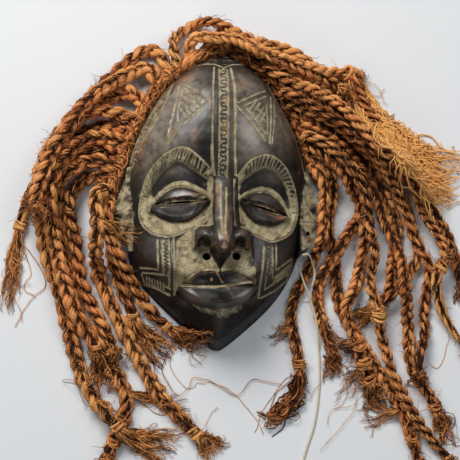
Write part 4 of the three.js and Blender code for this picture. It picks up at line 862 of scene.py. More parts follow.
# Brown worn wood, with one painted highlight on the upper lip.
hand_worn_and_highlight = plus(tree, stored(tree, "rubbed_and_highlight"), times(tree, stored(tree, "worn"), 0.35))
hand_worn_and_highlight = ranged(tree, plus(tree, hand_worn_and_highlight, times(tree, cloud["Fine"], 0.9)), 0.72, 1.35)
wood = mixed(tree, soot_and_shade_amount, dark_wood, sooted_and_shaded_wood)
wood = mixed(tree, ranged(tree, scratches["Fine"], 0.5, 0.95), wood, scratched_wood)
# The pale dust film paints a broad sheen on the forehead and, weaker, on the other polished places.
dust_and_sheen_amount = times(tree, stored(tree, "dust_and_painted_sheen"), ranged(tree, cloud["Fine"], 0.2, 0.65))
wood = mixed(tree, times(tree, dust_and_sheen_amount, 0.8), wood, dust_and_sheen_colour)
wood = mixed(tree, hand_worn_and_highlight, wood, worn_wood)
thin_clay = swing(tree, speckle["Fine"], 1.5)
region = plus(tree, stored(tree, "clay"), swing(tree, cloud["Fine"], 1.1))
region = ranged(tree, plus(tree, region, times(tree, thin_clay, 0.4)), 0.36, 0.72)
filled = ranged(tree, plus(tree, stored(tree, "knife_gap"), thin_clay), 0.42, -0.12)
filled = times(tree, filled, ranged(tree, cloud["Broad"], 0.18, 0.42))
pale = combined(tree, "MAXIMUM", region, filled)
clay_colour = mixed(tree, ranged(tree, cloud["Fine"], 0.3, 0.7), damp_clay, dry_clay)
clay_colour = mixed(tree, ranged(tree, speckle["Fine"], 0.5, 0.66), clay_colour, clay_specks)
raw_wood = mixed(tree, scratches["Broad"], raw_wood_dark, raw_wood_light)
finish_colour = mixed(tree, stored(tree, "hollow_side"), mixed(tree, pale, wood, clay_colour), raw_wood)
tree.links.new(finish_colour, surface.inputs["Base Color"])
gloss = times(tree, stored(tree, "polish"), combined(tree, "SUBTRACT", 1.0, pale))
gloss = times(tree, gloss, ranged(tree, cloud["Broad"], 0.1, 0.6))
tree.links.new(gloss, surface.inputs["Coat Weight"])
surface.inputs["Coat Roughness"].default_value = 0.33
surface.inputs["Coat IOR"].default_value = 1.85
surface.inputs["Specular IOR Level"].default_value = 0.2
matt = times(tree, combined(tree, "MAXIMUM", pale, stored(tree, "hollow_side")), 0.5)
roughness = combined(tree, "ADD", plus(tree, 0.36, times(tree, cloud["Fine"], 0.16)), matt, clamp=True)
tree.links.new(roughness, surface.inputs["Roughness"])
relief = times(tree, speckle["Fine"], times(tree, pale, 2.2))
relief = plus(tree, relief, times(tree, scratches["Fine"], 0.35))
bump = node(nodes, "ShaderNodeBump", Strength=0.5, Distance=0.0006)
tree.links.new(relief, bump.inputs["Height"])
tree.links.new(bump.outputs["Normal"], surface.inputs["Normal"])
mask.data.materials.clear()
mask.data.materials.append(patina)
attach(mask, "root")
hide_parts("mask")

# The cord round the forehead.
# Palm fibre in three loose strands. It lies against the edge of the wood from ear to ear, and the hair hangs
# from it in loops.
edge_cord_diameter = 9
edge_cord_height = 12.5
cord_to_wood = 0.45
cord_leaves_rim = 24                   # y below which the cord runs down outside the ears, by cord_ends
cord_ends = {"left": [(-91, -17), (-89, -5), (-86, 6), (-83.5, 16)], "right": [(77.5, 24), (80.5, 13)]}
strand_sides = 12


def lengths_along(line):
    return np.concatenate([[0], np.cumsum(np.linalg.norm(np.diff(line, axis=0), axis=1))])


def sampled(line, numbers, places):
    """A line's value at each place between its own points, which have these numbers."""
    return np.stack([np.interp(places, numbers, column) for column in line.T], -1)


def even_line(line, gap):
    """The same line with its points about one gap apart."""
    along = lengths_along(line)
    return sampled(line, along, np.linspace(0, along[-1], max(int(round(along[-1] / gap)), 3) + 1))


def direction_of(lines):
    ahead = np.gradient(lines, axis=-2)
    return ahead / np.maximum(np.linalg.norm(ahead, axis=-1, keepdims=True), 1e-9)


def side_and_up(ahead):
    """Level direction across each direction of travel, and the direction above both."""
    side = np.cross(ahead, (0.0, 0.0, 1.0)) + 1e-6
    side /= np.linalg.norm(side, axis=-1, keepdims=True)
    return side, np.cross(side, ahead)


def round_about(radius, sides, side, up, flat=1.0):
    """Steps from a strand's middle line out to its surface, at each of its sides."""
    angle = (2 * np.pi * np.arange(sides) / sides)[:, None]
    return radius * (np.cos(angle) * side[:, :, None, :] + flat * np.sin(angle) * up[:, :, None, :])


def strands(lines, radius, sides, seed, shade, gold=0.0, flat=1.0, twist=0.12, ridges=0.0):
    """Strands of fibre along an array of (lines, points, 3). Radius and shade may differ at each point.
    Ridges are the share of the radius by which bundles of fibre stand out in a strand. They twist with it,
    with painted shade in their grooves and painted light on their crests."""
    count, steps = lines.shape[:2]
    every_point = (count, steps, sides)
    along = np.stack([lengths_along(line) for line in lines])[:, :, None]
    turn = 2 * np.pi * np.arange(sides) / sides + twist * along
    rng = np.random.default_rng(seed)
    offset = rng.uniform(0, 900, (count, 1, 1))
    radius, gold = (np.broadcast_to(value, (count, steps))[:, :, None] for value in (radius, gold))
    if np.ndim(shade) < 3:
        shade = np.broadcast_to(shade, (count, steps))[:, :, None]
    shade = np.broadcast_to(shade, every_point)
    if ridges:
        bundle = np.zeros(every_point)
        for number, weight in ((2, 0.5), (3, 0.7), (5, 0.8)):
            start = rng.uniform(0, 6.3, (count, 1, 1))
            wander = 0.8 * np.sin(along / rng.uniform(3, 7, (count, 1, 1)))
            bundle += weight * np.cos(number * turn + start + wander)
        radius = radius * (1 + ridges * bundle)
        # Painted shade in the grooves between bundles and painted light on their crests.
        shade = shade + 2.2 * ridges * bundle
    ring = round_about(radius[..., None], sides, *side_and_up(direction_of(lines)), flat)
    points = (lines[:, :, None, :] + ring).reshape(-1, 3)
    number = np.arange(count * steps * sides).reshape(every_point)
    a, c = number[:, :-1], number[:, 1:]
    b, d = np.roll(a, -1, axis=2), np.roll(c, -1, axis=2)
    faces = [np.stack([a, b, d], -1).reshape(-1, 3), np.stack([a, d, c], -1).reshape(-1, 3)]
    for k in range(1, sides - 1):
        faces.append(np.stack([number[:, 0, 0], number[:, 0, k + 1], number[:, 0, k]], -1))
        faces.append(np.stack([number[:, -1, 0], number[:, -1, k], number[:, -1, k + 1]], -1))
    width = np.maximum(np.broadcast_to(radius, every_point), 0.3)
    grain = np.stack([np.broadcast_to(along * 0.09 + offset, every_point),
                      width * np.cos(turn), width * np.sin(turn)], -1).reshape(-1, 3)
    return points, np.concatenate(faces), grain, shade.ravel(), np.broadcast_to(gold, every_point).ravel()


def fibre_piece(name, bundles, finish):
    """One object from several bundles of strands; each point keeps its place in the grain, shade and gold."""
    starts = np.cumsum([0] + [len(bundle[0]) for bundle in bundles])
    faces = np.concatenate([bundle[1] + start for bundle, start in zip(bundles, starts)])
    points, grain, shade, gold = (np.concatenate([bundle[i] for bundle in bundles]) for i in (0, 2, 3, 4))
    points[:, 2] = np.maximum(points[:, 2], 0.02)
    piece = new_piece(name, to_row(points), faces)
    layer = piece.data.attributes.new("grain_place", "FLOAT_VECTOR", "POINT")
    layer.data.foreach_set("vector", grain.astype(np.float32).ravel())
    mark_points(piece, shade=shade, gold=gold)
    piece.data.materials.append(finish)
    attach(piece, "root")
    return piece


def braid_lines(path, half_width, half_depth, turn, roll):
    """Middle lines of three strands plaited round a path, and how much each one swells at the sides."""
    side, up = side_and_up(direction_of(path))
    c, s = np.cos(roll)[:, None], np.sin(roll)[:, None]
    side, up = side * c + up * s, up * c - side * s
    turn = turn[None, :] + 2 * np.pi * np.arange(3)[:, None] / 3
    lines = (path[None] + (half_width * np.sin(turn))[..., None] * side
             + (half_depth * np.sin(2 * turn))[..., None] * up)
    return lines, 1 - 0.15 * np.cos(2 * turn)


def rope_lines(path, half_width, turn, count=2, flat=1.0):
    """Middle lines of strands twisted round a path."""
    side, up = side_and_up(direction_of(path))
    turn = turn[None, :] + 2 * np.pi * np.arange(count)[:, None] / count
    return (path[None] + (half_width * np.cos(turn))[..., None] * side
            + (flat * half_width * np.sin(turn))[..., None] * up)


def painted_crease_shade(lines, path, radius, half, base):
    """Painted shade of each point of strands round a path: dark in the creases between them, where shade
    falls, light outside.
    """
    radius = np.broadcast_to(radius, lines.shape[:2])[:, :, None, None]
    points = lines[:, :, None, :] + round_about(radius, strand_sides, *side_and_up(direction_of(lines)))
    out = np.linalg.norm(points - path[None, :, None, :], axis=-1)
    return base + 2.1 * (np.clip(out / half, 0, 1.05) - 0.83)


def wound(path, middle, turns, radius, seed, shade, gold, lean=0.35):
    """A strand wound round a path at one of its points, as a binding or a knot."""
    thickness = 1.5
    rng = np.random.default_rng(seed)
    side, up = side_and_up(direction_of(path))
    steps = int(turns * 16)
    turn = np.linspace(0, 2 * np.pi * turns, steps) + rng.uniform(0, 6)
    wander = np.interp(np.arange(steps) / 7, np.arange(steps // 7 + 2), rng.normal(0, 1, steps // 7 + 2))
    lean = lean + 0.25 * wander
    gap = float(np.linalg.norm(path[middle] - path[middle - 1]))
    drift = np.linspace(-0.5, 0.5, steps) * turns * thickness * 1.7 + lean * radius * np.sin(turn)
    place = np.clip(middle + drift / gap, 0, len(path) - 1)
    at = sampled(path, np.arange(len(path)), place)
    point = np.rint(place).astype(int)
    out = radius * (1 + 0.12 * np.sin(turn * 0.37 + rng.uniform(0, 6, 1)) + 0.06 * wander)
    line = at + (out * np.cos(turn))[:, None] * side[point] + (0.8 * out * np.sin(turn))[:, None] * up[point]
    line[:, 2] = np.maximum(line[:, 2], thickness)
    return strands(line[None], thickness * (1 + 0.15 * wander[None]), 9, seed, shade, gold, ridges=0.16)


# The fibre's finish: raffia dyed red-brown, streaked along each strand, golden where it is fresh. Its shade
# carries painted shade, darker in the creases, and painted light and shade from plait to plait.
fibre_streaks, streaks_in, streaks_out = shader_group(
    "fibre_streaks",
    [("Dark", "NodeSocketColor", (0.018, 0.005, 0.002, 1)),
     ("Middle", "NodeSocketColor", (0.3, 0.078, 0.021, 1)),
     ("Light", "NodeSocketColor", (0.8, 0.3, 0.095, 1)),
     ("Golden", "NodeSocketColor", (1.0, 0.53, 0.17, 1)),
     ("Fineness", "NodeSocketFloat", 0.85)],
    [("Colour", "NodeSocketColor"), ("Height", "NodeSocketFloat")])
dye = streaks_in.outputs
grain_place = node(fibre_streaks.nodes, "ShaderNodeAttribute", {"attribute_name": "grain_place"})
streak = node(fibre_streaks.nodes, "ShaderNodeTexNoise", Detail=4.0, Roughness=0.75)
fibre_streaks.links.new(grain_place.outputs["Vector"], streak.inputs["Vector"])
fibre_streaks.links.new(dye["Fineness"], streak.inputs["Scale"])
blotch = node(fibre_streaks.nodes, "ShaderNodeTexNoise", Scale=0.35, Detail=1.0)
fibre_streaks.links.new(grain_place.outputs["Vector"], blotch.inputs["Vector"])
# The shade attribute: the fibre's tone, with painted shade in creases and grooves and painted light across
# the hair.
tone = plus(fibre_streaks, stored(fibre_streaks, "shade"), swing(fibre_streaks, streak.outputs["Fac"], 4.6))
tone = plus(fibre_streaks, tone, swing(fibre_streaks, blotch.outputs["Fac"], 0.9))
fibre_colour = mixed(fibre_streaks, ranged(fibre_streaks, tone, 0.0, 0.5), dye["Dark"], dye["Middle"])
fibre_colour = mixed(fibre_streaks, ranged(fibre_streaks, tone, 0.45, 1.05), fibre_colour, dye["Light"])
golden = times(fibre_streaks, stored(fibre_streaks, "gold"), ranged(fibre_streaks, tone, 0.1, 0.8))
fibre_colour = mixed(fibre_streaks, golden, fibre_colour, dye["Golden"])
fibre_streaks.links.new(fibre_colour, streaks_out.inputs["Colour"])
fibre_streaks.links.new(streak.outputs["Fac"], streaks_out.inputs["Height"])


def fibre_finish(name, bump_mm, **colours):
    """Matt fibre with its streaks as colour and as fine ridges."""
    material, nodes, surface = new_material(name)
    streaks = place_group(nodes, fibre_streaks, **colours)
    material.node_tree.links.new(streaks.outputs["Colour"], surface.inputs["Base Color"])
    ridges = node(nodes, "ShaderNodeBump", Strength=0.9, Distance=bump_mm / 1000)
    material.node_tree.links.new(streaks.outputs["Height"], ridges.inputs["Height"])
    material.node_tree.links.new(ridges.outputs["Normal"], surface.inputs["Normal"])
    surface.inputs["Roughness"].default_value = 0.58
    surface.inputs["Specular IOR Level"].default_value = 0.35
    surface.inputs["Specular Tint"].default_value = (1.0, 0.67, 0.47, 1)
    return material


plaited_fibre = fibre_finish("dyed_raffia", 1.1)

offset_line = []
for i, (px, py) in enumerate(rim_line):
    if py < cord_leaves_rim:
        continue
    tx, ty = rim_line[(i + 1) % len(rim_line)] - rim_line[i - 1]
    away = (edge_cord_diameter / 2 + cord_to_wood) / math.hypot(tx, ty)
    offset_line.append((px - away * ty, py + away * tx))
left_part = sorted((p for p in offset_line if p[0] < 0), key=lambda p: p[1])[::5]
right_part = sorted((p for p in offset_line if p[0] >= 0), key=lambda p: -p[1])[::5]
cord_plan = smooth_line(cord_ends["left"] + left_part + right_part + cord_ends["right"], 8)
edge_cord_path = even_line(np.c_[cord_plan, np.full(len(cord_plan), edge_cord_height)], 1.3)
cord_rng = np.random.default_rng(21)
cord_along = lengths_along(edge_cord_path)
sagging_path = edge_cord_path + np.outer(0.5 * np.sin(cord_along / 11), (0, 0, 1))
edge_strands = rope_lines(sagging_path, 2.5, 2 * np.pi * cord_along / 23 + 0.4, count=3)
edge_swell = 2.5 + 0.4 * np.sin(cord_along[None] / 5.3 + np.array([[0.0], [2.2], [4.1]]))
# Painted shade in the creases between the cord's strands.
edge_painted_crease_shade = painted_crease_shade(edge_strands, edge_cord_path, edge_swell, 4.8, 0.5)
edge_bundles = [strands(edge_strands, edge_swell, strand_sides, 31, edge_painted_crease_shade, gold=0.15, ridges=0.13)]
loose_count = 130
loose_lines = []
for start in cord_rng.uniform(0, len(edge_cord_path) - 45, loose_count).astype(int):
    piece_path = edge_cord_path[start:start + 33:3]
    side, up = side_and_up(direction_of(piece_path))
    part = np.linspace(0, 1, len(piece_path))
    turn = cord_rng.uniform(0.2, 2.9) + part * cord_rng.uniform(-2.5, 5)
    turn = turn + cord_rng.normal(0, 0.25, len(piece_path))
    out = 4.5 + cord_rng.uniform(0.2, 2.2) * np.sin(np.pi * part + cord_rng.uniform(-0.6, 0.6))
    loose_lines.append(piece_path + (out * np.cos(turn))[:, None] * side + (out * np.sin(turn))[:, None] * up)
loose_radius, loose_shade, loose_gold = (cord_rng.uniform(low, high, (loose_count, 1))
                                         for low, high in ((0.25, 0.55), (0.0, 0.9), (0, 0.5)))
edge_bundles.append(strands(np.array(loose_lines), loose_radius, 4, 32, loose_shade, loose_gold))
edge_cord = fibre_piece("twisted_edge_cord", edge_bundles, plaited_fibre)
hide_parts("edge_cord")

# The hair.
# Twenty-nine plaits of raffia, each looped to the edge cord and left to lie where it falls, with all that
# frays from them. A route is the way one plait lies on the drawing, in metres, over those laid before it.
plait_routes = {
    "right_17": [(0.057, 0.073), (0.069, 0.071), (0.085, 0.065), (0.101, 0.057), (0.116, 0.047)],
    "right_10": [(0.059, 0.069), (0.07, 0.065), (0.084, 0.059), (0.098, 0.051), (0.11, 0.042),
        (0.122, 0.031), (0.131, 0.018), (0.138, 0.004), (0.143, -0.009), (0.148, -0.023), (0.146, -0.037),
        (0.143, -0.054), (0.143, -0.071), (0.135, -0.084)],
    "right_14": [(0.072, 0.033), (0.083, 0.027), (0.091, 0.017), (0.095, 0.004), (0.092, -0.009),
        (0.089, -0.024), (0.094, -0.041), (0.097, -0.059), (0.098, -0.077), (0.102, -0.093),
        (0.114, -0.111), (0.124, -0.127), (0.134, -0.143), (0.143, -0.159), (0.153, -0.175),
        (0.159, -0.192), (0.166, -0.213)],
    "top_03": [(-0.014, 0.122), (-0.009, 0.133), (0.001, 0.136), (0.013, 0.135), (0.025, 0.129),
        (0.039, 0.125), (0.053, 0.121), (0.066, 0.114), (0.079, 0.107), (0.092, 0.103)],
    "left_07": [(-0.077, 0.051), (-0.089, 0.055), (-0.101, 0.053), (-0.115, 0.047), (-0.124, 0.036),
        (-0.13, 0.022), (-0.139, 0.006), (-0.143, -0.007), (-0.142, -0.02)],
    "left_11": [(-0.045, 0.1), (-0.05, 0.116), (-0.06, 0.123), (-0.07, 0.117), (-0.084, 0.104),
        (-0.098, 0.089), (-0.112, 0.074), (-0.127, 0.056), (-0.139, 0.036), (-0.146, 0.017),
        (-0.153, -0.001), (-0.158, -0.018), (-0.161, -0.033)],
    "left_01": [(-0.089, -0.01), (-0.094, -0.019), (-0.088, -0.03), (-0.086, -0.045), (-0.083, -0.062),
        (-0.077, -0.08), (-0.07, -0.094), (-0.066, -0.104)],
    "right_09": [(0.053, 0.075), (0.064, 0.071), (0.078, 0.064), (0.093, 0.058), (0.107, 0.049),
        (0.12, 0.039), (0.132, 0.028), (0.142, 0.016), (0.152, 0.004), (0.158, -0.012), (0.162, -0.029),
        (0.167, -0.042), (0.16, -0.056), (0.151, -0.07), (0.139, -0.082), (0.126, -0.092)],
    "top_01": [(-0.036, 0.106), (-0.042, 0.12), (-0.04, 0.132), (-0.03, 0.14), (-0.016, 0.146),
        (-0.003, 0.142), (0.009, 0.137), (0.022, 0.13), (0.036, 0.129), (0.051, 0.124), (0.065, 0.121),
        (0.073, 0.111), (0.085, 0.105), (0.099, 0.107), (0.111, 0.104)],
    "right_16": [(0.068, 0.0475), (0.08, 0.043), (0.095, 0.033), (0.107, 0.022), (0.115, 0.008),
        (0.119, -0.006), (0.114, -0.018), (0.104, -0.033), (0.097, -0.047), (0.088, -0.059),
        (0.082, -0.075), (0.083, -0.092), (0.089, -0.11), (0.094, -0.124)],
    "right_11": [(0.062, 0.058), (0.073, 0.053), (0.087, 0.047), (0.1, 0.038), (0.112, 0.028),
        (0.122, 0.015), (0.13, 0.001), (0.135, -0.015), (0.141, -0.031), (0.148, -0.047), (0.151, -0.066),
        (0.153, -0.085), (0.157, -0.106), (0.158, -0.133), (0.165, -0.147), (0.175, -0.16), (0.18, -0.172)],
    "right_13": [(0.07, 0.04), (0.083, 0.035), (0.094, 0.026), (0.102, 0.014), (0.112, 0.003),
        (0.118, -0.009), (0.119, -0.023), (0.12, -0.039), (0.116, -0.057), (0.113, -0.075),
        (0.104, -0.087), (0.105, -0.099), (0.112, -0.114), (0.118, -0.131), (0.124, -0.15)],
    "right_05": [(0.025, 0.117), (0.034, 0.114), (0.045, 0.107), (0.058, 0.102), (0.072, 0.097),
        (0.086, 0.09), (0.098, 0.082), (0.109, 0.07), (0.121, 0.056)],
    "left_05": [(-0.084, 0.03), (-0.096, 0.034), (-0.108, 0.03), (-0.12, 0.024), (-0.127, 0.014),
        (-0.132, -0.001), (-0.13, -0.019), (-0.128, -0.041), (-0.122, -0.062), (-0.118, -0.083),
        (-0.11, -0.106), (-0.096, -0.121), (-0.084, -0.14), (-0.073, -0.159), (-0.07, -0.177),
        (-0.078, -0.197), (-0.084, -0.215)],
    "right_07": [(0.041, 0.097), (0.052, 0.092), (0.065, 0.087), (0.078, 0.079), (0.092, 0.069),
        (0.105, 0.058), (0.117, 0.045), (0.129, 0.035), (0.143, 0.027), (0.157, 0.017), (0.169, 0.007),
        (0.177, -0.006), (0.184, -0.019), (0.192, -0.034), (0.196, -0.049), (0.201, -0.067)],
    "right_08": [(0.046, 0.082), (0.057, 0.079), (0.07, 0.071), (0.084, 0.064), (0.097, 0.056),
        (0.111, 0.045), (0.123, 0.032), (0.134, 0.021), (0.143, 0.007), (0.151, -0.007), (0.158, -0.023),
        (0.162, -0.038), (0.172, -0.049), (0.174, -0.059), (0.172, -0.075), (0.169, -0.091),
        (0.171, -0.11), (0.165, -0.123), (0.165, -0.143)],
    "left_09": [(-0.066, 0.073), (-0.073, 0.084), (-0.082, 0.083), (-0.093, 0.077), (-0.104, 0.07),
        (-0.115, 0.061), (-0.126, 0.047), (-0.135, 0.029), (-0.139, 0.016), (-0.141, 0.003)],
    "left_03": [(-0.089, 0.01), (-0.099, 0.013), (-0.109, 0.009), (-0.118, 0.001), (-0.122, -0.011),
        (-0.119, -0.027), (-0.115, -0.043), (-0.113, -0.062), (-0.107, -0.082), (-0.098, -0.099),
        (-0.088, -0.116), (-0.082, -0.13)],
    "left_04": [(-0.087, 0.019), (-0.098, 0.023), (-0.11, 0.021), (-0.125, 0.011), (-0.136, 0.001),
        (-0.144, -0.011), (-0.143, -0.026), (-0.14, -0.048), (-0.132, -0.069), (-0.125, -0.089),
        (-0.12, -0.109), (-0.113, -0.131), (-0.105, -0.154), (-0.093, -0.173), (-0.076, -0.192)],
    "top_04": [(0.001, 0.125), (0.011, 0.131), (0.022, 0.127), (0.032, 0.116), (0.045, 0.11),
        (0.058, 0.104), (0.072, 0.098), (0.085, 0.095), (0.096, 0.088), (0.106, 0.08)],
    "left_06": [(-0.081, 0.04), (-0.092, 0.043), (-0.104, 0.042), (-0.116, 0.036), (-0.125, 0.023),
        (-0.134, 0.005), (-0.137, -0.01), (-0.135, -0.026), (-0.132, -0.043), (-0.127, -0.062),
        (-0.121, -0.083), (-0.112, -0.103), (-0.101, -0.12), (-0.095, -0.132)],
    "left_12": [(-0.088, -0.015), (-0.092, -0.026), (-0.09, -0.036), (-0.086, -0.047), (-0.08, -0.057),
        (-0.074, -0.067), (-0.067, -0.079), (-0.06, -0.089), (-0.052, -0.099), (-0.044, -0.107),
        (-0.036, -0.112)],
    "right_06": [(0.032, 0.104), (0.042, 0.1), (0.054, 0.093), (0.067, 0.088), (0.08, 0.08),
        (0.093, 0.072), (0.104, 0.061), (0.114, 0.048), (0.125, 0.035), (0.138, 0.027), (0.151, 0.018),
        (0.16, 0.008), (0.165, -0.005), (0.174, -0.018), (0.182, -0.031), (0.188, -0.044), (0.181, -0.056),
        (0.177, -0.068), (0.181, -0.084), (0.19, -0.101), (0.204, -0.12)],
    "top_02": [(-0.026, 0.112), (-0.029, 0.124), (-0.021, 0.13), (-0.011, 0.126), (0.002, 0.127),
        (0.014, 0.124), (0.025, 0.117), (0.038, 0.112), (0.052, 0.108), (0.066, 0.102), (0.08, 0.097),
        (0.092, 0.094), (0.099, 0.089)],
    "right_12": [(0.065, 0.048), (0.077, 0.044), (0.091, 0.035), (0.102, 0.025), (0.112, 0.013),
        (0.119, -0.001), (0.122, -0.015), (0.123, -0.032), (0.129, -0.046), (0.124, -0.063),
        (0.124, -0.078), (0.13, -0.093), (0.131, -0.107), (0.138, -0.12), (0.14, -0.136), (0.147, -0.151),
        (0.154, -0.165), (0.164, -0.181), (0.178, -0.197), (0.191, -0.212)],
    "left_02": [(-0.09, -0.003), (-0.098, -0.002), (-0.101, -0.012), (-0.098, -0.025), (-0.097, -0.036),
        (-0.099, -0.049), (-0.097, -0.065), (-0.091, -0.081), (-0.083, -0.097), (-0.075, -0.112),
        (-0.066, -0.129), (-0.052, -0.152), (-0.041, -0.168), (-0.025, -0.184), (-0.013, -0.196)],
    "right_15": [(0.074, 0.022), (0.083, 0.016), (0.085, 0.001), (0.084, -0.017), (0.084, -0.033),
        (0.079, -0.049), (0.073, -0.063), (0.065, -0.079), (0.06, -0.094), (0.062, -0.109),
        (0.066, -0.125), (0.069, -0.143)],
    "left_08": [(-0.073, 0.06), (-0.084, 0.063), (-0.097, 0.064), (-0.109, 0.063), (-0.118, 0.056),
        (-0.129, 0.045), (-0.14, 0.029), (-0.144, 0.015), (-0.147, 0.001), (-0.15, -0.009)],
    "left_10": [(-0.055, 0.09), (-0.057, 0.105), (-0.065, 0.105), (-0.073, 0.099), (-0.085, 0.093),
        (-0.097, 0.082), (-0.108, 0.07), (-0.117, 0.058), (-0.125, 0.043), (-0.135, 0.027),
        (-0.141, 0.007), (-0.147, -0.007), (-0.147, -0.021)],
}
# kind, length of one turn in mm, shade, gold; the shade is the fibre's tone with painted light and shade:
# highest on the top plaits and lowest on the right, as light falls from above the forehead and the left
plait_looks = {
    "left_01": ("rope", 26, 0.44, 0.3), "left_02": ("braid", 36, 0.56, 0.4),
    "left_03": ("rope", 23, 0.46, 0.15), "left_04": ("braid", 38, 0.52, 0.35),
    "left_05": ("braid", 36, 0.47, 0.2), "left_06": ("braid", 34, 0.5, 0.2),
    "left_07": ("braid", 30, 0.5, 0.1), "left_08": ("rope", 24, 0.56, 0.15),
    "left_09": ("braid", 28, 0.57, 0.12), "left_10": ("braid", 32, 0.62, 0.15),
    "left_11": ("rope", 27, 0.6, 0.25), "left_12": ("rope", 25, 0.44, 0.25),
    "right_05": ("braid", 22, 0.37, 0.25), "right_06": ("rope", 20, 0.48, 0.3),
    "right_07": ("braid", 26, 0.27, 0.1), "right_08": ("rope", 22, 0.34, 0.2),
    "right_09": ("rope", 20, 0.38, 0.35), "right_10": ("braid", 24, 0.34, 0.2),
    "right_11": ("braid", 27, 0.38, 0.2), "right_12": ("rope", 22, 0.44, 0.4),
    "right_13": ("braid", 26, 0.43, 0.2), "right_14": ("braid", 27, 0.45, 0.25),
    "right_15": ("braid", 27, 0.39, 0.2), "right_16": ("braid", 21, 0.27, 0.1),
    "right_17": ("braid", 22, 0.38, 0.2), "top_01": ("rope", 19, 0.73, 0.35),
    "top_02": ("braid", 22, 0.72, 0.35), "top_03": ("braid", 22, 0.65, 0.3),
    "top_04": ("rope", 18, 0.59, 0.3),
}
unplaited_ends = {"left_11": 38, "right_06": 62}         # in mm
# width and thickness, and the width that the strands below are drawn for, in mm
plait_sizes = {"left": (11, 8.4, 10.4), "right": (9.6, 7.8, 11.2), "top": (9.6, 7.8, 11.2)}
# loose fibre at the ends: heading in degrees, length and width at the tip in mm, number of fibres
frayed_ends = {
    "left_01": (-44, 46, 26, 90), "left_02": (-46, 26, 20, 90), "left_04": (-14, 54, 28, 130),
    "left_06": (-88, 36, 18, 80), "left_11": (-93, 70, 15, 62), "left_12": (-24, 36, 22, 100),
    "right_06": (-70, 28, 16, 60), "right_07": (-80, 20, 15, 50), "right_09": (-150, 20, 17, 60),
    "right_11": (-60, 30, 18, 70), "right_13": (-62, 28, 21, 100), "right_15": (-96, 22, 11, 36),
    "right_16": (-80, 26, 17, 60),
}
short_fray = (None, 12, 13, 42)                          # None: straight on
# bindings and knots: x, y in mm, how far the winding stands out, number of turns, gold
knots = {
    "left_04": [(-76, -191, 6.2, 3.2, 0.5)], "left_05": [(-80, -202, 5.4, 2.2, 0.3)],
    "left_02": [(-16, -193, 5.6, 3.0, 0.7)],
    "left_11": [(-160, -34, 5.4, 4.5, 0.8), (-160, -46, 4.2, 2.0, 0.7)],
    "left_12": [(-40, -109, 5.2, 2.0, 0.5)],
    "right_12": [(131, -94, 6.4, 4.0, 0.75), (188, -211, 5.2, 2.0, 0.3)],
    "right_06": [(180, -54, 6.0, 3.0, 0.6)],
    "right_13": [(114, -120, 6.0, 3.0, 0.25), (119, -136, 7.0, 3.5, 0.3), (123, -148, 6.6, 3.0, 0.35)],
    "right_15": [(67, -136, 5.6, 3.0, 0.2)], "right_09": [(131, -90, 6.0, 3.0, 0.4)],
    "right_16": [(92, -120, 5.0, 2.0, 0.1)], "right_14": [(159, -196, 5.4, 2.0, 0.2)],
    "right_11": [(176, -168, 5.4, 2.5, 0.2)], "top_01": [(107, 104, 6.4, 4.0, 0.4)],
    "left_01": [(-67, -102, 5.0, 2.0, 0.6)], "left_06": [(-97, -129, 5.4, 2.5, 0.2)],
}
# loose fibre that comes out at the side of a plait: where, heading in degrees, length, width and number
side_frays = {
    "left_02": [(-98, -30, -24, 36, 15, 45)],
    "left_05": [(-70, -162, -13, 54, 12, 60), (-98, -120, -80, 26, 12, 30)],
    "left_07": [(-128, 22, 200, 10, 8, 12)],
    "right_13": [(116, -124, 165, 26, 14, 40), (122, -140, 200, 22, 14, 25), (122, -136, 240, 40, 18, 14)],
    "right_14": [(120, -124, -150, 20, 12, 22), (150, -172, 205, 34, 16, 40), (157, -188, 20, 16, 12, 18)],
    "right_12": [(131, -92, 170, 16, 12, 16)], "right_15": [(62, -108, 190, 22, 14, 24)],
    "right_06": [(178, -50, 40, 16, 12, 25)], "left_04": [(-98, -168, -30, 30, 10, 25)],
    "right_16": [(84, -100, -60, 24, 10, 25)],
}
# single fibres that lie apart, each with its points in mm
stray_fibres = {
    "left_02": [
        [(-22, -186), (-34, -172), (-46, -170), (-52, -160)],
        [(-14, -196), (-6, -186), (-1, -176), (4, -174)],
    ],
    "left_12": [
        [(-34, -118), (-41, -146), (-27, -163), (-16, -150), (-3, -152), (18, -162), (33, -149),
         (54, -153)],
        [(-30, -118), (-22, -126), (-19, -138), (-9, -134), (-12, -124)],
        [(-33, -120), (-36, -140), (-24, -158), (-13, -153), (2, -154), (20, -165), (32, -180),
         (40, -194)],
    ],
    "left_04": [
        [(-100, -160), (-122, -155), (-112, -155), (-106, -170), (-97, -175)],
        [(-78, -190), (-60, -172), (-44, -181), (-30, -174)],
        [(-80, -188), (-66, -166), (-52, -168), (-38, -164)],
    ],
    "left_11": [
        [(-160, -44), (-151, -51), (-138, -75), (-152, -93), (-161, -112)],
        [(-159, -50), (-150, -66), (-155, -80), (-146, -88)],
        [(-160, -48), (-167, -70), (-160, -96), (-156, -108)],
    ],
    "left_10": [
        [(-147, -20), (-136, -34), (-141, -48), (-133, -52)],
    ],
    "right_13": [
        [(124, -150), (116, -158), (108, -181), (86, -205)],
        [(122, -148), (100, -142), (84, -152), (78, -166)],
        [(126, -150), (112, -168), (96, -172), (90, -184)],
    ],
    "right_06": [
        [(188, -100), (190, -116), (181, -136), (169, -129)],
    ],
    "right_15": [
        [(68, -146), (52, -158), (44, -176), (47, -184)],
        [(66, -146), (56, -150), (38, -176), (33, -192)],
    ],
    "right_11": [
        [(176, -168), (160, -176), (152, -190), (158, -198)],
    ],
    "top_01": [
        [(110, 103), (117, 103), (129, 99), (136, 88), (139, 82)],
        [(112, 98), (121, 91), (131, 90), (138, 96)],
    ],
}
crossing_room = 13                     # how far before and after a crossing a plait starts to rise
field_low = (-245, -295)
field_size = 500
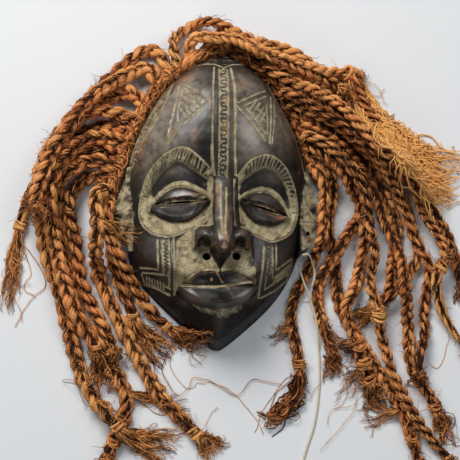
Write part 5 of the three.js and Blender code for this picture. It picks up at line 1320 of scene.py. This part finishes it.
tops = np.zeros((field_size, field_size))    # height of everything laid so far, for each square millimetre


def in_field(places, axis, shift=0):
    """Number of the cell that each place lies in, along x (axis 0) or y (axis 1), or of one some cells on."""
    return np.clip(np.rint(places - field_low[axis]).astype(int) + shift, 0, field_size - 1)


def cells_round(points, half_width):
    """Row and column of every cell within half_width of each point, and a round thing's bulge there."""
    reach = int(half_width)
    dy, dx = np.mgrid[-reach:reach + 1, -reach:reach + 1].reshape(2, -1)
    share = np.hypot(dx, dy) / half_width
    dy, dx, share = (a[share <= 1] for a in (dy, dx, share))
    return in_field(points[:, 1:2], 1, dy), in_field(points[:, :1], 0, dx), np.sqrt(1 - share ** 2)


def resting_height(points, half_width, half_depth):
    """Lowest height of the middle of a thing that rests there on whatever lies below."""
    row, column, bulge = cells_round(points, half_width)
    below = tops[row, column]
    return np.where(below > 0, below + half_depth * bulge, half_depth).max(1)


def pile_up(line, half_width, half_depth):
    row, column, bulge = cells_round(line, half_width)
    np.maximum.at(tops, (row, column), line[:, 2:3] + half_depth * bulge)


def eased(values, reach):
    """A smooth curve that stays above every value: it starts to rise, and ends its fall, one reach away."""
    padded = np.pad(values, 2 * reach, mode="edge")
    highest = np.lib.stride_tricks.sliding_window_view(padded, 2 * reach + 1).max(1)
    for part in (reach // 2, reach - reach // 2):
        window = np.full(2 * part + 1, 1 / (2 * part + 1))
        highest = np.convolve(highest, window, mode="valid")
    return highest


def laid(plan, half_width, half_depth, room, first_height=None):
    """A level line of points laid down on the pile; it sags between what holds it, and joins the pile."""
    heights = resting_height(plan, half_width, half_depth)
    if first_height is not None:
        root = lengths_along(plan) < edge_cord_diameter / 2 + half_width + 2
        heights[root] = first_height
    line = np.c_[plan, eased(heights, room)]
    pile_up(line, half_width, half_depth)
    return line


def ground_under(lines):
    """Height of the pile under each point."""
    return tops[in_field(lines[..., 1], 1), in_field(lines[..., 0], 0)]


field_y, field_x = (places.ravel() for places in np.mgrid[-128:118:1.0, -90:86:1.0])
field_left, field_right = mask_edges(field_y)
on_mask = (field_x > field_left) & (field_x < field_right)
field_points = np.stack([field_x, field_y], 1)[on_mask]
row, column, _ = cells_round(field_points, 1.0)
np.maximum.at(tops, (row, column), np.maximum(face_height(*field_points.T), 0)[:, None])
pile_up(edge_cord_path, edge_cord_diameter / 2, edge_cord_diameter / 2)
hair_points = 8


def short_hairs(rng, path, count, out_from, reach):
    """Fibre ends that stand off a plait all along it and curl back down."""
    at = rng.integers(6, len(path) - 3, count)
    around = rng.uniform(-0.3, math.pi + 0.3, count)
    ahead = direction_of(path)
    side, up = side_and_up(ahead)
    out = side[at] * np.cos(around)[:, None] + up[at] * np.sin(around)[:, None]
    heading = ahead[at] * rng.choice([-1, 1, 1], count)[:, None] + out * rng.uniform(0.1, 0.9, (count, 1))
    turning = np.cumsum(rng.normal(0, 0.26, (count, hair_points)), axis=1)
    angle = np.arctan2(heading[:, 1], heading[:, 0])[:, None] + turning
    climb = heading[:, 2:3] + np.linspace(0.1, -0.5, hair_points) + rng.normal(0, 0.15, (count, 1))
    pace = np.minimum(rng.gamma(2.0, reach / 2, count) + 2, 11)[:, None, None] / (hair_points - 1)
    moves = np.stack([np.cos(angle), np.sin(angle), climb], -1) * pace
    moves[:, 0] = 0
    lines = path[at][:, None, :] + (out * out_from)[:, None, :] + np.cumsum(moves, axis=1)
    free = np.arange(hair_points) > 3
    lines[..., 2] = np.where(free, np.maximum(lines[..., 2], ground_under(lines) + 0.3), lines[..., 2])
    return lines


def kinked(rng, shape, knots_apart, size):
    """Random sideways shifts that change suddenly every few points, as stiff flat fibre bends."""
    count, steps = shape
    corners = rng.normal(0, size, (count, steps // knots_apart + 2))
    place = np.arange(steps)[None] / knots_apart + rng.uniform(0, 1, (count, 1))
    low = np.minimum(place.astype(int), corners.shape[1] - 2)
    share = place - low
    rows = np.arange(count)[:, None]
    return corners[rows, low] * (1 - share) + corners[rows, low + 1] * share


def fanned(rng, middle, narrow, wide, count, steps, start, reach, kink, curl, thickness):
    """Loose fibres spread along a middle line, from narrow to wide; they bend in kinks and curl in loops."""
    side, _ = side_and_up(direction_of(np.c_[middle[:, :2], 0 * middle[:, 0]]))
    ahead = np.stack([-side[:, 1], side[:, 0]], 1)
    first = rng.uniform(start[0], start[1], (count, 1))
    last = np.minimum(first + rng.uniform(reach[0], reach[1], (count, 1)), 1.02)
    part = np.linspace(0, 1, steps)
    at = first + (last - first) * part
    place = at * (len(middle) - 1)
    numbers = np.arange(len(middle))
    base, across, on = (sampled(line, numbers, place) for line in (middle, side[:, :2], ahead))
    clumps = max(count // 9, 3)
    member = rng.integers(0, clumps, count)
    alone = rng.uniform(0, 1, (count, 1)) < 0.3
    lane = (rng.uniform(-0.5, 0.5, (clumps, 1)) + 0.16 * rng.normal(0, 1, (clumps, 1)) * part)[member]
    own_lane = rng.uniform(-0.55, 0.55, (count, 1)) + 0 * part
    lane = np.where(alone, own_lane, lane + 0.035 * rng.normal(0, 1, (count, 1)))
    grown = np.clip(at * 2.5, 0, 1)
    width = narrow + (wide - narrow) * at ** 1.2
    phase = rng.uniform(0, 6.3, (count, 1))
    phase = phase + rng.choice([-1, 1], (count, 1)) * 6.3 * rng.uniform(0.2, 1.6, (count, 1)) * part
    loop = curl * rng.uniform(0, 1, (count, 1)) ** 2 * part * np.where(alone, 1, 0.35)
    own_kink = np.where(alone, kink, 0.4 * kink)
    shared = kinked(rng, (clumps, steps), 3, kink)[member] * ~alone
    shift = (kinked(rng, (count, steps), 2, 1) * own_kink + shared) * grown
    shift = lane * width + shift + loop * np.cos(phase)
    run = kinked(rng, (count, steps), 3, 0.8) * own_kink * grown + loop * np.sin(phase)
    lines = base.copy()
    lines[..., :2] = base[..., :2] + across * shift[..., None] + on * run[..., None]
    settled = np.clip(at * 3, 0, 1)
    lift = rng.uniform(0, 1, (count, 1)) * thickness * (1 - 0.45 * at)
    lift = lift * (1 - 1.6 * np.clip(lane, -0.6, 0.6) ** 2)
    lift = lift + np.abs(kinked(rng, (count, steps), 3, 0.9)) * grown
    ground = np.stack([eased(g, 2) for g in ground_under(lines)])
    root_height = 2.0
    first_height = base[..., 2] + rng.uniform(-1, 1, (count, 1)) * root_height
    resting = first_height * (1 - settled) + (ground + lift) * settled
    lines[..., 2] = np.maximum(resting, ground * settled) + 0.35
    return lines


def relaxed(line, reach):
    """The same line with its sharpest bends eased, as a springy plait lies; its ends stay."""
    number = np.arange(len(line))
    window = np.minimum(np.minimum(number, number[::-1]), reach)
    total = np.vstack([[0, 0], np.cumsum(line, axis=0)])
    return (total[number + window + 1] - total[number - window]) / (2 * window + 1)[:, None]


def wave(rng, along, length, count=None):
    """A gentle wave along a plait, or one for each of its strands, that starts anywhere."""
    return np.sin(along / length + rng.uniform(0, 6, (count, 1) if count else None))


def nearest(path, x, y):
    return int(np.argmin(np.hypot(path[:, 0] - x, path[:, 1] - y)))


def heading_of(degrees):
    return np.array([math.cos(math.radians(degrees)), math.sin(math.radians(degrees))])


plan_gap, path_gap = 1.5, 1.35         # between the points of a plait's line, before and after it is laid


def plaited(rng, name, path, scale, seed):
    """The strands of one plait: three braided, or two twisted."""
    kind, pitch, shade, gold = plait_looks[name]
    unplaited = unplaited_ends.get(name, 0)
    along = lengths_along(path)
    left = along[-1] - along
    roll = 0.45 * wave(rng, along, rng.uniform(19, 31)) + 0.25 * wave(rng, along, 9.5)
    thinning = 1 - 0.2 * step(28, 0, left)
    straight = step(unplaited + 12, unplaited, left) if unplaited else 0 * along
    uneven_pitch = pitch * (1 + 0.14 * wave(rng, along, 21))
    turn = rng.uniform(0, 6) + np.cumsum(2 * np.pi * path_gap / uneven_pitch * (1 - 0.9 * straight))
    if kind == "braid":
        lines, swell = braid_lines(path, 3.1 * scale * thinning, 1.4 * scale * thinning, turn, roll)
        swell = 2.72 * scale * swell
    else:
        lines = rope_lines(path, 2.55 * scale * thinning, turn, flat=0.75)
        swell = 2.9 * scale
    count = len(lines)
    unevenness = 0.1 * wave(rng, along, 4.3, count) + 0.07 * wave(rng, along, 1.9, count)
    swell = swell * thinning * (1 + unevenness) * (1 - 0.15 * straight)
    # The plait's shade carries painted light and shade as well as its tone.
    tint = shade + 0.16 * wave(rng, along, 37) + rng.normal(0, 0.1, (count, 1)) + 0.15 * straight
    # Painted shade in the creases between the strands.
    tint_and_painted_crease_shade = painted_crease_shade(lines, path, swell, 5.4 * scale, tint[:, :, None])
    strand_gold = np.clip(0.75 * gold + 0.2 * wave(rng, along, 23, count) + 0.5 * straight, 0, 1)
    return strands(lines, swell, strand_sides, seed, tint_and_painted_crease_shade, strand_gold,
                   flat=0.9, twist=0.2, ridges=0.15)


end_points = 21                        # in the middle line of the loose fibre at a plait's end
end_fray = {"steps": 18, "start": (0, 0.25), "kink": 2.0, "curl": 9, "thickness": 4, "radii": (0.7, 0.28),
            "widest": 1.35, "spread": 0.36}
side_fray = {"steps": 16, "start": (0, 0.1), "kink": 1.8, "curl": 8, "thickness": 3, "radii": (0.62, 0.25),
             "widest": 1.2, "spread": 0.34}


def fray(rng, middle, narrow, wide, count, shade, gold, seed, steps, start, kink, curl, thickness, radii,
         widest, spread):
    """A tuft of fine fibre that fans out along a middle line."""
    lines = fanned(rng, middle, narrow, wide, count, steps, start, (0.25, 1.0), kink, curl, thickness)
    radius = np.linspace(*radii, steps) * rng.uniform(0.4, widest, (count, 1))
    tint = np.clip(rng.normal(shade + 0.06, spread, (count, 1)), -0.2, 1)
    return strands(lines, radius, 3, seed, tint, gold, flat=0.6)


def frayed_from(rng, name, path, root_number, seed):
    """What is tied to a plait or comes loose from it: lashing, knots, short hairs, frayed ends, strays."""
    _, _, shade, gold = plait_looks[name]
    bundles = []
    for shift, lean in ((-2, 0.5), (2, -0.4)):
        at = int(np.clip(root_number + shift, 4, len(edge_cord_path) - 5))
        bundles.append(wound(edge_cord_path, at, 1.15, 4.9, seed + 7 + shift, shade - 0.05, 0.1, lean))
    for number, (x, y, stand, turns, knot_gold) in enumerate(knots.get(name, [])):
        bundles.append(wound(path, nearest(path, x, y), turns, stand - 1.2, seed + 20 + number, shade + 0.1,
                             knot_gold))
    hairs = short_hairs(rng, path, int(lengths_along(path)[-1] * 0.28), 4.4, 5.0)
    radius = np.linspace(0.28, 0.12, hair_points) * rng.uniform(0.7, 1.3, (len(hairs), 1))
    bundles.append(strands(hairs, radius, 3, seed + 40, rng.uniform(0.05, 0.9, (len(hairs), 1)), gold * 1.3))
    heading, end_length, end_width, end_count = frayed_ends.get(name, short_fray)
    ahead = (path[-1] - path[-4])[:2]
    ahead = ahead / np.linalg.norm(ahead)
    goal = ahead if heading is None else heading_of(heading)
    bend = np.clip(np.arange(end_points) / 6, 0, 1)[:, None]
    travel = ahead * (1 - bend) + goal * bend
    travel /= np.linalg.norm(travel, axis=1, keepdims=True)
    moves = np.cumsum(travel * end_length / (end_points - 1), axis=0)
    middle = path[-1, :2] + np.vstack([[0, 0], moves[:-1]])
    middle = np.c_[middle - ahead * 3, np.full(end_points, path[-1, 2])]
    bundles.append(fray(rng, middle, 7, end_width, end_count, shade, gold, seed + 80, **end_fray))
    for number, (x, y, heading, length, width, count) in enumerate(side_frays.get(name, [])):
        out = np.append(heading_of(heading), 0)
        middle = path[nearest(path, x, y)] + np.linspace(0, length, 12)[:, None] * out
        bundles.append(fray(rng, middle, 4, width, count, shade, gold, seed + 60 + number, **side_fray))
    for number, points in enumerate(stray_fibres.get(name, [])):
        stray = smooth_line(points, 10)
        stray = stray + np.stack([kinked(rng, (1, len(stray)), 4, 0.7)[0] for _ in range(2)], 1)
        stray = np.c_[stray, eased(ground_under(stray), 3) + 0.5 + rng.uniform(0, 2)]
        bundles.append(strands(stray[None], rng.uniform(0.2, 0.34), 4, seed + 90 + number,
                               rng.uniform(0.45, 0.95), gold + rng.uniform(0, 0.5), flat=0.5))
    return bundles


for order, (name, route) in enumerate(plait_routes.items()):
    plait_width, plait_depth, drawn_width = plait_sizes[name.split("_")[0]]
    seed = 100 + order
    rng = np.random.default_rng(seed)
    hand_points = np.array(route) * 1000
    root_number = nearest(edge_cord_path, *hand_points[0])
    plan = smooth_line(np.vstack([edge_cord_path[root_number, :2], hand_points]), 8)
    plan = relaxed(even_line(plan, plan_gap), 7)
    path = laid(plan, plait_width / 2, plait_depth / 2, int(crossing_room / plan_gap), edge_cord_height)
    path = even_line(path, path_gap)
    braid = plaited(rng, name, path, plait_width / drawn_width, seed)
    plait = fibre_piece("plait_of_raffia_" + name, [braid], plaited_fibre)
    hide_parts("plait_" + name)
    loose = frayed_from(rng, name, path, root_number, seed)
    frizz = fibre_piece("frayed_fibre_" + name, loose, plaited_fibre)
    length = float(lengths_along(path)[-1]) / 1000

# The two pale threads.
# Cotton string of two twisted plies. Both come out from under the mask below its right ear and trail over the
# table.
thread_routes = {
    "thread_short": [(0.067, -0.051), (0.072, -0.05), (0.076, -0.055), (0.079, -0.063), (0.077, -0.074)],
    "thread_long": [(0.0655, -0.056), (0.0675, -0.062), (0.071, -0.072), (0.076, -0.084), (0.081, -0.102),
        (0.084, -0.123), (0.085, -0.145), (0.084, -0.165), (0.081, -0.185), (0.076, -0.201),
        (0.071, -0.218)],
}
string, nodes, surface = new_material("cotton_string")
surface.inputs["Roughness"].default_value = 0.85
string_noise = node(nodes, "ShaderNodeTexNoise", Scale=700.0, Detail=2.0)
place = nodes.new("ShaderNodeTexCoord")
string.node_tree.links.new(place.outputs["Object"], string_noise.inputs["Vector"])
string_colour = mixed(string.node_tree, string_noise.outputs["Fac"], (0.46, 0.39, 0.25), (0.78, 0.69, 0.5))
string.node_tree.links.new(string_colour, surface.inputs["Base Color"])
for name, route in thread_routes.items():
    plan = even_line(smooth_line(np.array(route) * 1000, 8), 1.0)
    path = laid(plan, 1.0, 1.0, 9)
    lines = rope_lines(path, 0.48, 2 * np.pi * lengths_along(path) / 4.2)
    thread = fibre_piece("cotton_" + name, [strands(lines, 0.55, 6, 400, 0.5)], string)
    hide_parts(name)

# The loose tufts.
# Unplaited raffia: a golden one fans out to the right from a twisted root, a dark one lies below the chin.
# Middle line in mm, width at the root and at the tip, number of fibres, shade, gold, points in a fibre, curl
tufts = {
    "golden_fibre_tuft": ([(111, 103), (117, 84), (127, 68), (141, 51), (158, 35), (176, 24), (197, 17)],
                          11, 48, 340, 1.15, 1.0, 28, 17.0),
    "dark_fibre_tuft": ([(68, -144), (66, -158), (60, -171), (51, -182), (41, -189)],
                        8, 17, 52, 0.28, 0.1, 20, 6.0),
}
root_points = 22
for name, (points, narrow, wide, count, shade, gold, steps, curl) in tufts.items():
    rng = np.random.default_rng(len(name) * 7)
    plan = smooth_line(points, 8)
    middle = even_line(np.c_[plan, np.full(len(plan), 10.0)], 2.0)
    half = count // 2
    lines = np.concatenate([
        fanned(rng, middle, narrow, wide, half, steps, (0, 0.1), (0.45, 1.0), 3.3, curl, 10),
        fanned(rng, middle, narrow, wide, count - half, steps, (0.1, 0.65), (0.15, 0.5), 3.0, curl, 10)])
    rootward = step(42, 8, lengths_along(middle))
    darker = 0.16 * np.interp(np.linspace(0, 1, steps), np.linspace(0, 1, len(middle)), rootward)
    tint = np.clip(rng.normal(shade, 0.2, (count, 1)), 0, 1.3) - darker
    radius = np.linspace(0.85, 0.46, steps) * rng.uniform(0.5, 1.2, (count, 1))
    bundles = [strands(lines, radius, 4, 500 + len(name), tint, gold, flat=0.7)]
    if name == "golden_fibre_tuft":
        root = middle[:root_points].copy()
        root[:, 2] = eased(np.maximum(ground_under(root) + 4.5, 9), 4)
        core = rope_lines(root, 3.0, 2 * np.pi * lengths_along(root) / 24, count=3, flat=0.8)
        taper = 2.9 * (1 - 0.35 * np.linspace(0, 1, root_points))[None]
        # Painted shade in the creases of the twisted root.
        core_painted_crease_shade = painted_crease_shade(core, root, taper, 5.6, 0.46)
        bundles.append(strands(core, taper, strand_sides, 640, core_painted_crease_shade, 0.1, ridges=0.14))
    tuft = fibre_piece(name.replace("fibre_tuft", "loose_raffia"), bundles, plaited_fibre)
    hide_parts(name)
